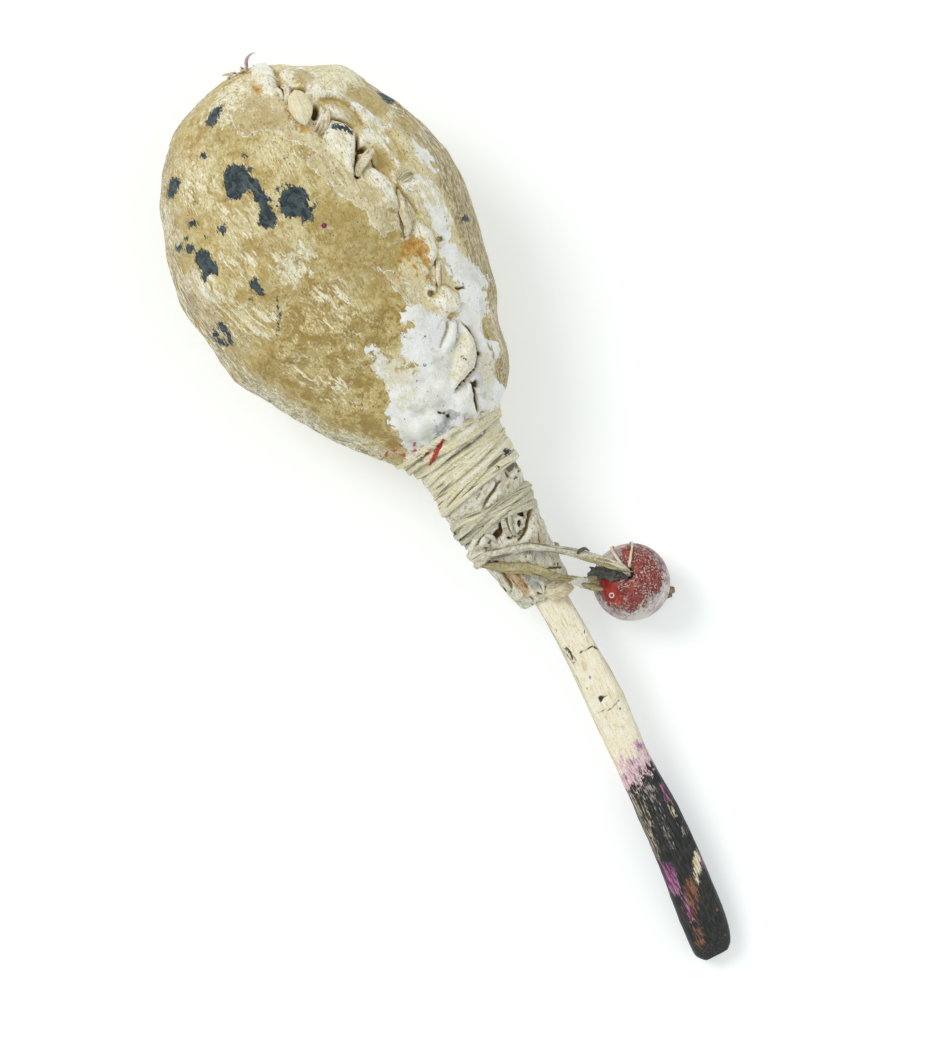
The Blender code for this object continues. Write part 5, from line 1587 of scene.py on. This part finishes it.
def make_tuft():
    """Ragged fibres at the tip: brown, dark and chalky ones, and one purple curl."""
    random = np.random.default_rng(9)
    groups = {"tuft_brown": [], "tuft_dark": [], "tuft_pale": []}
    for k in range(56):
        share = random.uniform(0, 1) ** 1.3
        x = -1.0 + 9.0 * share
        y = 140.9 - 2.6 * share**2 + random.uniform(-2.4, 0.3)
        z = 44.6 + random.uniform(-0.4, 1.2) + 0.9 * (141 - y)
        way = math.radians(random.uniform(80, 215) - 60 * share)
        long = random.uniform(1.4, 3.6) * (0.75 if share > 0.6 else 1.0)
        dx, dy, dz = math.cos(way) * long, math.sin(way) * long * 0.62, random.uniform(-0.6, 1.0)
        bend = random.uniform(-0.5, 0.5)
        route = [(x, y, z), (x + dx * 0.5 - bend * 0.5, y + dy * 0.5 + bend, z + dz * 0.7),
            (x + dx, y + dy, z + dz)]
        thin = random.uniform(0.4, 0.95)
        name = ("tuft_brown", "tuft_pale", "tuft_dark", "tuft_pale")[k % 4]
        groups[name].append(free_strip(route, [thin * 1.2, thin, 0.15], [0.4, 0.32, 0.12], 400 + k, 60,
            points_round=8, steps=9, groove_size=0.3))
    for name, finish, stands_for in (("tuft_brown", TAN_FIBRE, ["tip_tuft"]), ("tuft_dark", STUB, ()),
                                     ("tuft_pale", CHALKY, ())):
        strip_piece(name, finish, "rattle", joined(groups[name]), stands_for)
    strip_piece("tuft_purple", PURPLE, "rattle", free_strip([(4.0, 141.0, 45.2), (4.5, 142.4, 45.8),
        (5.4, 143.3, 46.2), (6.8, 143.7, 46.4), (8.0, 143.6, 46.2)], [0.9, 1.1, 0.9, 0.45, 0.12],
        [0.4, 0.45, 0.4, 0.25, 0.1], 440, 50, steps=24))


make_tuft()


# ---------------------------------------------------------------- folds and loose hide at the neck
laid("neck_fold_1", GREY_SINEW, (), ([(-2.6, -5.6, 0.2), (1.8, -4.2, 0.8), (6.1, -2.7, 0.9),
    (11.0, -1.7, 0.9), (15.2, -0.9, 0.3)], [1.0, 1.6, 1.8, 1.6, 0.8], [0.7, 1.0, 1.1, 1.0, 0.6], 501, 40),
    ([(-3.2, -5.8, 0.1), (-0.6, -6.6, 0.9), (2.0, -7.6, 0.8), (3.2, -8.6, 0.2)], [1.2, 2.0, 1.8, 0.8],
    [0.8, 1.1, 1.0, 0.6], 502, 60), ([(3.2, -5.0, 0.1), (4.6, -6.4, 0.7), (5.0, -8.4, 0.3)],
    [0.8, 1.4, 0.8], [0.6, 0.9, 0.5], 503, 60))
laid("neck_fold_2", GREY_SINEW, (), ([(10.2, -2.2, 0.2), (9.4, -4.4, 0.8), (9.0, -6.6, 0.7),
    (9.6, -8.8, 0.1)], [0.8, 1.5, 1.6, 0.8], [0.5, 0.8, 0.7, 0.4], 504, 30), ([(12.0, -2.6, 0.2),
    (11.4, -4.6, 0.8), (10.8, -7.0, 0.7), (11.2, -9.4, 0.1)], [0.7, 1.3, 1.3, 0.6], [0.5, 0.7, 0.7, 0.4],
    505, 30), ([(20.6, 1.0, 0.2), (18.2, -0.8, 0.7), (16.4, -3.4, 0.7), (15.6, -6.2, 0.1)],
    [1.0, 1.8, 1.6, 0.8], [0.6, 0.9, 0.8, 0.5], 506, 50))


def make_flap():
    """The cuff's loose corner: a stiff wedge of hide whose edge stands off the stick."""
    left = [(10.4, -28.0, 0.2), (12.4, -25.6, 0.4), (15.2, -25.7, 0.6), (18.3, -27.6, 0.9)]
    right = [(11.2, -30.0, 0.2), (13.6, -30.9, 0.6), (16.4, -31.0, 1.1), (19.0, -29.9, 1.4)]
    rows, columns = 20, 40
    turn = np.linspace(0, 2 * math.pi, columns, endpoint=False)
    points = []
    for a, b in zip(through(left, rows), through(right, rows)):
        for t in turn:
            w, thick = math.cos(t), 0.34 * np.sign(math.sin(t)) * abs(math.sin(t)) ** 0.6
            x, y, lift = a + (b - a) * (0.5 + 0.5 * w)
            cx, cz, half, high = (v[0] for v in skin_sections([max(y, -28.9)]))
            near = min(abs(x - cx) / half, 1.0)
            z = cz + high * math.sqrt(1 - 0.55 * near * near)
            points.append((x, y, z + lift + thick + 0.3 * math.sin(2.2 * w)))
    points = np.array(points)
    points[:, 2] += 0.12 * lumps(points, (1.2, 1.2, 1.2), 73, 3)
    # rim gives the flap's edges painted shade.
    fields = {"along": points[:, 0], "across": points[:, 1], "relief": lumps(points, (3, 0.7, 3), 75, 3),
        "rim": np.tile(np.abs(np.cos(turn)) ** 6, rows)}
    fields.update(unmarked(len(points)))
    return piece("cuff_flap", points, tube_faces(rows, columns), TAN_FIBRE, "rattle", (), fields)


make_flap()


# ---------------------------------------------------------------- thong
# The bead: its centre and radius, its bore's radius, and the way the bore runs.
BEAD_CENTRE = np.array([34.2, -36.2, 12.85])
BEAD_RADIUS = 10.85
BORE_RADIUS = 1.9
BORE = np.array([0.01, 0.277, 0.961]) / np.linalg.norm([0.01, 0.277, 0.961])


def round_neck(degrees, places, count, lift=0.95):
    """Places round the neck, from one angle and row to another."""
    turns, rows = np.linspace(*degrees, count), np.linspace(*places, count)
    return [tuple(p) for p in on_skin(rows, turns, lift)[0]]


def make_strand(name, route, widths, thicks, finish, stands_for, seed, up):
    """A flat thong from the neck to the bead, tied at the neck."""
    line = through(route, 110)
    share = np.linspace(0, 1, len(line))
    sides, ups = frames(line, up, 14 * np.sin(share * 9 + seed))
    widths, thicks = (np.interp(share, np.linspace(0, 1, len(t)), t) for t in (widths, thicks))
    points, faces, fields = strip(line, sides, ups, widths, thicks, 26, False, seed, 0.16, 2.3, 0.42)
    if finish == OLIVE:
        white = Relief(points[:, 0], points[:, 1], np.ones(len(points)))
        white.area("white", [(18.6, -27.4), (22.8, -28.8), (23.4, -30.4), (21.6, -31.4), (18.0, -29.6)])
        fields.update(white.fields)
    made = piece(name, points, faces, finish, None, stands_for, fields)
    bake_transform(made)
    print(name, "is", round(float(np.linalg.norm(np.diff(line, axis=0), axis=1).sum()), 1), "mm long")
    return made


def make_thong():
    """The thong round the neck, its knot, the two strands to the bead and their fibres."""
    strip_piece("neck_loop", THONG, "rattle", free_strip(round_neck((-80, -258), (-10.4, -17.6), 16),
        [3.0, 2.8, 2.8, 2.6], [1.2, 1.1, 1.1, 1.0], 601, 0, up=(-1, 0, 0), points_round=22, steps=60),
        ["thong_neck_loop"])
    strip_piece("loop_knot", THONG, "rattle", joined([free_strip([(-3.2, -9.4, 19.6), (-3.4, -8.6, 23.0),
        (-1.6, -8.2, 26.4), (1.4, -8.6, 28.8)], [1.6, 2.4, 2.4, 1.6], [1.0, 1.3, 1.3, 0.8], 602, 40,
        up=(-1, 0, 0.4)), free_strip([(-3.0, -11.6, 19.6), (-3.2, -11.8, 22.6), (-1.9, -11.6, 25.4),
        (0.6, -11.4, 27.9)], [1.4, 2.0, 2.0, 1.4], [0.9, 1.1, 1.1, 0.8], 603, 40, up=(-1, 0, 0.4)),
        free_strip([(-2.6, -7.6, 22.6), (-2.9, -10.0, 24.4), (-1.8, -12.8, 24.6)], [1.0, 1.8, 1.0],
        [0.8, 1.0, 0.7], 604, 30, up=(-1, 0, 0.6))]), ())
    upper = round_neck((-70, 18), (-9.2, -13.6), 6) + [(15.3, -15.2, 30.0), (19.0, -17.7, 28.3),
        (22.8, -20.6, 27.0), (27.6, -25.1, 26.3), (30.9, -28.3, 26.2), (33.3, -30.9, 25.7),
        (34.3, -32.9, 24.6)]
    make_strand("upper_thong", upper, [2.4, 2.8, 2.7, 2.5, 2.3, 2.5, 2.9, 2.6, 1.7],
        [1.2, 1.3, 1.3, 1.2, 1.1, 1.2, 1.3, 1.2, 0.9], THONG,
        ["thong_upper_crossing", "thong_upper_strand"], 610, (-1, 0, 0.6))
    lower = round_neck((-68, -6), (-12.0, -18.4), 5) + [(12.6, -21.8, 30.1), (16.6, -25.6, 28.6),
        (20.4, -28.4, 26.9), (22.9, -30.5, 23.4), (24.9, -31.9, 20.9)]
    make_strand("lower_thong", lower, [2.2, 2.7, 3.0, 3.3, 3.4, 3.0, 2.7, 3.6, 4.4, 2.8],
        [1.1, 1.3, 1.3, 1.2, 1.2, 1.1, 1.0, 1.0, 1.0, 0.7], OLIVE,
        ["thong_lower_crossing", "thong_lower_strand"], 620, (-1, 0, 0.6))
    # Loose fibres where the strands spread, on the swinging side.
    random = np.random.default_rng(31)
    wisps = []
    for k in range(9):
        share = random.uniform(0.15, 1.0)
        x, y, z = 24.0 + 9.6 * share, -22.2 - 9.2 * share, 26.8 - 0.9 * share
        side = random.uniform(-1.3, 1.3)
        route = [(x - 3.4, y + 3.2 + 0.4 * side, z + 0.4), (x, y + side, z + 0.9),
            (x + 2.6, y - 2.4 + 0.3 * side, z - 0.1)]
        wisps.append(free_strip(route, [0.3, 0.55, 0.2], [0.2, 0.3, 0.15], 630 + k, 40, points_round=8,
            steps=12))
    for k in range(8):
        side = random.uniform(-2.0, 2.0)
        route = [(21.4, -29.6 + 0.3 * side, 25.6), (23.4, -31.0 + 0.6 * side, 22.6),
            (26.0, -32.2 + side, 20.4)]
        wisps.append(free_strip(route, [0.8, 2.0, 0.8], [0.3, 0.5, 0.25], 650 + k, 40, points_round=12,
            steps=14))
    strip_piece("thong_fibres", OLIVE, "pendant", joined(wisps), ["bead_side_knot"])
    strip_piece("thong_wisp", DARK_HIDE, "pendant", free_strip([(24.0, -21.8, 27.2), (25.2, -21.2, 27.9),
        (26.4, -21.3, 27.7), (27.4, -22.6, 27.0)], [0.6, 1.1, 0.9, 0.3], [0.4, 0.6, 0.5, 0.2], 640, 60),
        ())


def above_bead(x, y, lift):
    """A point over the bead's top at a place in plan from its centre."""
    reach = BEAD_RADIUS + lift
    flat = math.hypot(x, y)
    if flat < reach * 0.94:
        rise = math.sqrt(reach**2 - flat**2)
    else:
        rise = reach * 0.34 - (flat - reach * 0.94)
    return tuple(BEAD_CENTRE + np.array([x, y, rise]))


def make_bead_ties():
    """What is tied at the bead: the core through it, the torn dark scrap, the sinews and the end."""
    core = [BEAD_CENTRE + BORE * reach for reach in (BEAD_RADIUS + 0.5, 4.0, -4.0, -BEAD_RADIUS - 0.2)]
    strip_piece("core_thong", THONG, "pendant", free_strip(core, [1.5, 2.0, 2.0, 2.0],
        [1.1, 1.7, 1.7, 1.7], 701, 60, up=(1, 0, 0), steps=30), ["bead_core_thong"])
    scrap = [above_bead(-9.9, 7.7, 1.0), above_bead(-8.2, 7.2, 1.4), above_bead(-6.2, 6.5, 1.2),
        above_bead(-4.3, 5.2, 1.1), above_bead(-2.4, 3.9, 1.0), above_bead(-0.7, 2.5, 0.8)]
    random = np.random.default_rng(17)
    bits = [free_strip(scrap, [0.6, 2.4, 3.6, 2.4, 3.2, 2.6, 0.8], [0.4, 0.6, 0.7, 0.6, 0.6, 0.5, 0.3],
        702, 10, points_round=26, steps=44, groove=0.26)]
    for k in range(14):
        share = random.uniform(0.06, 0.95)
        x, y = -9.4 + 8.6 * share + random.uniform(-0.4, 0.4), 7.9 - 5.6 * share + random.uniform(-1.5, 1.5)
        way = random.uniform(-1.0, 0.5)
        dx, dy = 1.4 * math.cos(way), 1.4 * math.sin(way)
        lift = random.uniform(1.0, 1.5)
        bits.append(free_strip([above_bead(x - dx, y - dy, lift - 0.25), above_bead(x, y, lift),
            above_bead(x + dx, y + dy, lift - 0.3)], [0.4, random.uniform(0.9, 1.9), 0.3],
            [0.3, 0.5, 0.2], 730 + k, 60, points_round=12, steps=14))
    strip_piece("dark_scrap", DARK_HIDE, "pendant", joined(bits), ["dark_strip"])
    for number, azimuth, width, bow in ((1, 88.0, 0.62, 1.2), (2, 66.0, 0.58, -1.2)):
        a = math.radians(azimuth)
        level = np.array([math.cos(a), math.sin(a), 0.0])
        outward = level - BORE * np.dot(level, BORE)
        outward /= np.linalg.norm(outward)
        route = []
        for t in np.radians(np.linspace(8, 152, 15)):
            reach = BEAD_RADIUS + 0.35 + 0.5 * math.sin(2.2 * t)
            place = BEAD_CENTRE + reach * (BORE * math.cos(t) + outward * math.sin(t))
            route.append(place + bow * math.sin(2 * t) * np.cross(BORE, outward))
        strip_piece(f"sinew_{number}", CHALKY, "pendant", free_strip(route,
            [0.9, width * 1.1, width * 1.3, width, width * 0.8, 0.6], [0.5, 0.6, 0.6, 0.5, 0.5, 0.4],
            710 + number, 30, up=tuple(BORE), steps=60), [f"bead_sinew_{number}"])
    strip_piece("end_stub", STUB, "pendant", joined([free_strip([(33.4, -37.2, 0.9), (36.6, -39.6, 1.2),
        (39.4, -41.7, 1.9), (41.6, -43.0, 2.6), (43.2, -43.7, 2.9), (44.6, -44.2, 2.9)],
        [1.3, 2.0, 3.4, 4.6, 3.6, 1.4], [1.2, 1.8, 3.0, 3.6, 2.8, 1.6], 720, 30, points_round=24,
        steps=34, flatness=3.2, groove=0.12), free_strip([(38.8, -42.0, 1.6), (41.4, -44.0, 1.8),
        (43.4, -45.0, 1.8)], [1.6, 3.4, 1.8], [1.2, 2.4, 1.2], 721, 30, points_round=20)]),
        ["thong_end_knot"])


make_thong()
make_bead_ties()


# ---------------------------------------------------------------- bead
RED_PART = [(-8.6, 3.4), (-7.6, 6.4), (-4.7, 7.6), (-1.4, 6.4), (0.4, 7.8), (3.9, 8.8), (7.0, 7.6),
    (8.7, 4.4), (9.2, 1.0), (8.3, -2.4), (6.6, -4.4), (4.8, -5.4), (1.1, -5.8), (-0.4, -6.6),
    (-4.7, -6.6), (-7.6, -4.0), (-9.4, -0.7), (-9.6, 1.5)]
SMOOTH_PART = [(-9.4, 2.4), (-8.4, 5.3), (-5.4, 5.6), (-2.7, 2.4), (-3.3, -0.6), (-5.2, -2.8),
    (-8.2, -3.4), (-9.9, -0.9)]


def make_bead():
    """The bead with its bore, red where the glaze shows and crusted elsewhere."""
    rows, columns = 110, 150
    mouth = math.asin(BORE_RADIUS / BEAD_RADIUS)
    side = np.cross([0, 1, 0], BORE)
    side /= np.linalg.norm(side)
    other = np.cross(BORE, side)
    polar = np.linspace(mouth * 0.92, math.pi - mouth * 0.92, rows)
    turn = np.linspace(0, 2 * math.pi, columns, endpoint=False)
    pp, tt = np.repeat(polar, columns), np.tile(turn, rows)
    way = (np.sin(pp) * np.cos(tt))[:, None] * side + (np.sin(pp) * np.sin(tt))[:, None] * other
    way = way + np.cos(pp)[:, None] * BORE
    radius = BEAD_RADIUS + 0.10 * lumps(way * 10, 7, 61, 2) + 0.07 * lumps(way * 10, 1.6, 67, 3)
    radius -= 0.4 * np.exp(-(((pp - mouth) / 0.12) ** 2))
    dx, dy, dz = (way * BEAD_RADIUS).T
    lower = eased(-dz, 0.0, 3.0) * 4
    red_part, smooth_part = inside(dx, dy, RED_PART) - lower, inside(dx, dy, SMOOTH_PART) - lower
    chalk = np.maximum(3.6 - np.hypot(dx + 3.0, dy + 8.4), inside(dx, dy,
        [(8.4, -3.2), (8.0, -6.2), (3.7, -8.8), (1.6, -7.0), (4.4, -4.3)]))
    # The crust has some thickness over the red glaze.
    radius += 0.22 * eased(-red_part, -0.1, 0.8)
    points = BEAD_CENTRE + way * radius[:, None]
    inner = []
    depth = BEAD_RADIUS * math.cos(mouth)
    for reach in np.linspace(-depth, depth, 8)[1:-1]:
        ring = BORE_RADIUS * (np.cos(turn)[:, None] * side + np.sin(turn)[:, None] * other)
        inner.append(BEAD_CENTRE + reach * BORE + ring)
    all_points = np.concatenate([points, *inner])
    faces = [f[::-1] for f in tube_faces(rows + len(inner), columns, True)]
    extra = len(inner) * columns
    embers = np.maximum(1.5 - np.hypot((dx + 0.9) / 1.6, dy + 5.2), 1.0 - np.hypot((dx + 6.0) / 1.8,
        dy + 3.6))
    fields = { "crust": np.clip(-red_part, OUTSIDE, -OUTSIDE),
        "frost": np.clip(np.minimum(red_part + 1.0, -smooth_part), OUTSIDE, -OUTSIDE),
        "ember": embers - lower, "ring": 0.17 - np.abs(np.hypot(dx + 6.9, dy + 0.6) - 0.62) - lower,
        "chalk": chalk - lower, "window": inside(dx, dy,
        [(1.6, 9.8), (3.0, 9.4), (2.6, 7.6), (1.5, 7.9)]) - lower, "hollow": 0 * dx, }
    # The bore's inside is marked for painted shade.
    fields = {n: np.concatenate([v, np.full(extra, 1.0 if n == "hollow" else OUTSIDE)]) for n,
        v in fields.items()}
    return piece("red_bead", all_points, faces, BEAD, "bead", ["bead"], fields)


make_bead()

for number in range(1, 9):
    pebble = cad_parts[f"pebble_{number}"]
    pebble.data.materials.clear()
    pebble.data.materials.append(STONE)


# ---------------------------------------------------------------- table, light and camera
def make_stage():
    """The pale table, the light and the camera."""
    bpy.ops.mesh.primitive_grid_add(x_subdivisions=8, y_subdivisions=8, size=4.0, location=(0, 0, -0.0002))
    floor = bpy.context.object
    floor.name = "table"
    p = Paint("table")
    tone = p.noise(60, 2, 0.5)
    white = p.layers((0.70, 0.715, 0.712), ((0.71, 0.722, 0.718), tone))
    floor.data.materials.append(p.finish(white, 0.95, Emission_Color=(0.97, 1.0, 0.99, 1),
        Emission_Strength=0.34))

    world = bpy.data.worlds.new("studio")
    bpy.context.scene.world = world
    world.use_nodes = True
    world.node_tree.nodes["Background"].inputs["Color"].default_value = (0.95, 0.985, 1.0, 1)
    world.node_tree.nodes["Background"].inputs["Strength"].default_value = 0.70
    for name, turn, strength, angle, colour in (
        ("key", (-34, -24, 0), 1.25, 26, (1.0, 0.985, 0.95)),
        ("fill", (20, 30, 0), 0.25, 70, (0.94, 0.98, 1.0)),
    ):
        light = bpy.data.lights.new(name, "SUN")
        light.energy = strength
        light.angle = math.radians(angle)
        light.color = colour
        holder = bpy.data.objects.new(name, light)
        holder.rotation_euler = [math.radians(v) for v in turn]
        bpy.context.scene.collection.objects.link(holder)

    camera = bpy.data.cameras.new("camera")
    camera.lens = 150
    camera.sensor_width = 36
    camera.clip_start, camera.clip_end = 0.1, 10
    holder = bpy.data.objects.new("camera", camera)
    holder.location = (0.0019, 0.0004, 1.2513)
    holder.rotation_euler = (0, 0, math.radians(-27.3))
    bpy.context.scene.collection.objects.link(holder)
    bpy.context.scene.camera = holder
    bpy.context.scene.view_settings.view_transform = "Standard"


make_stage()
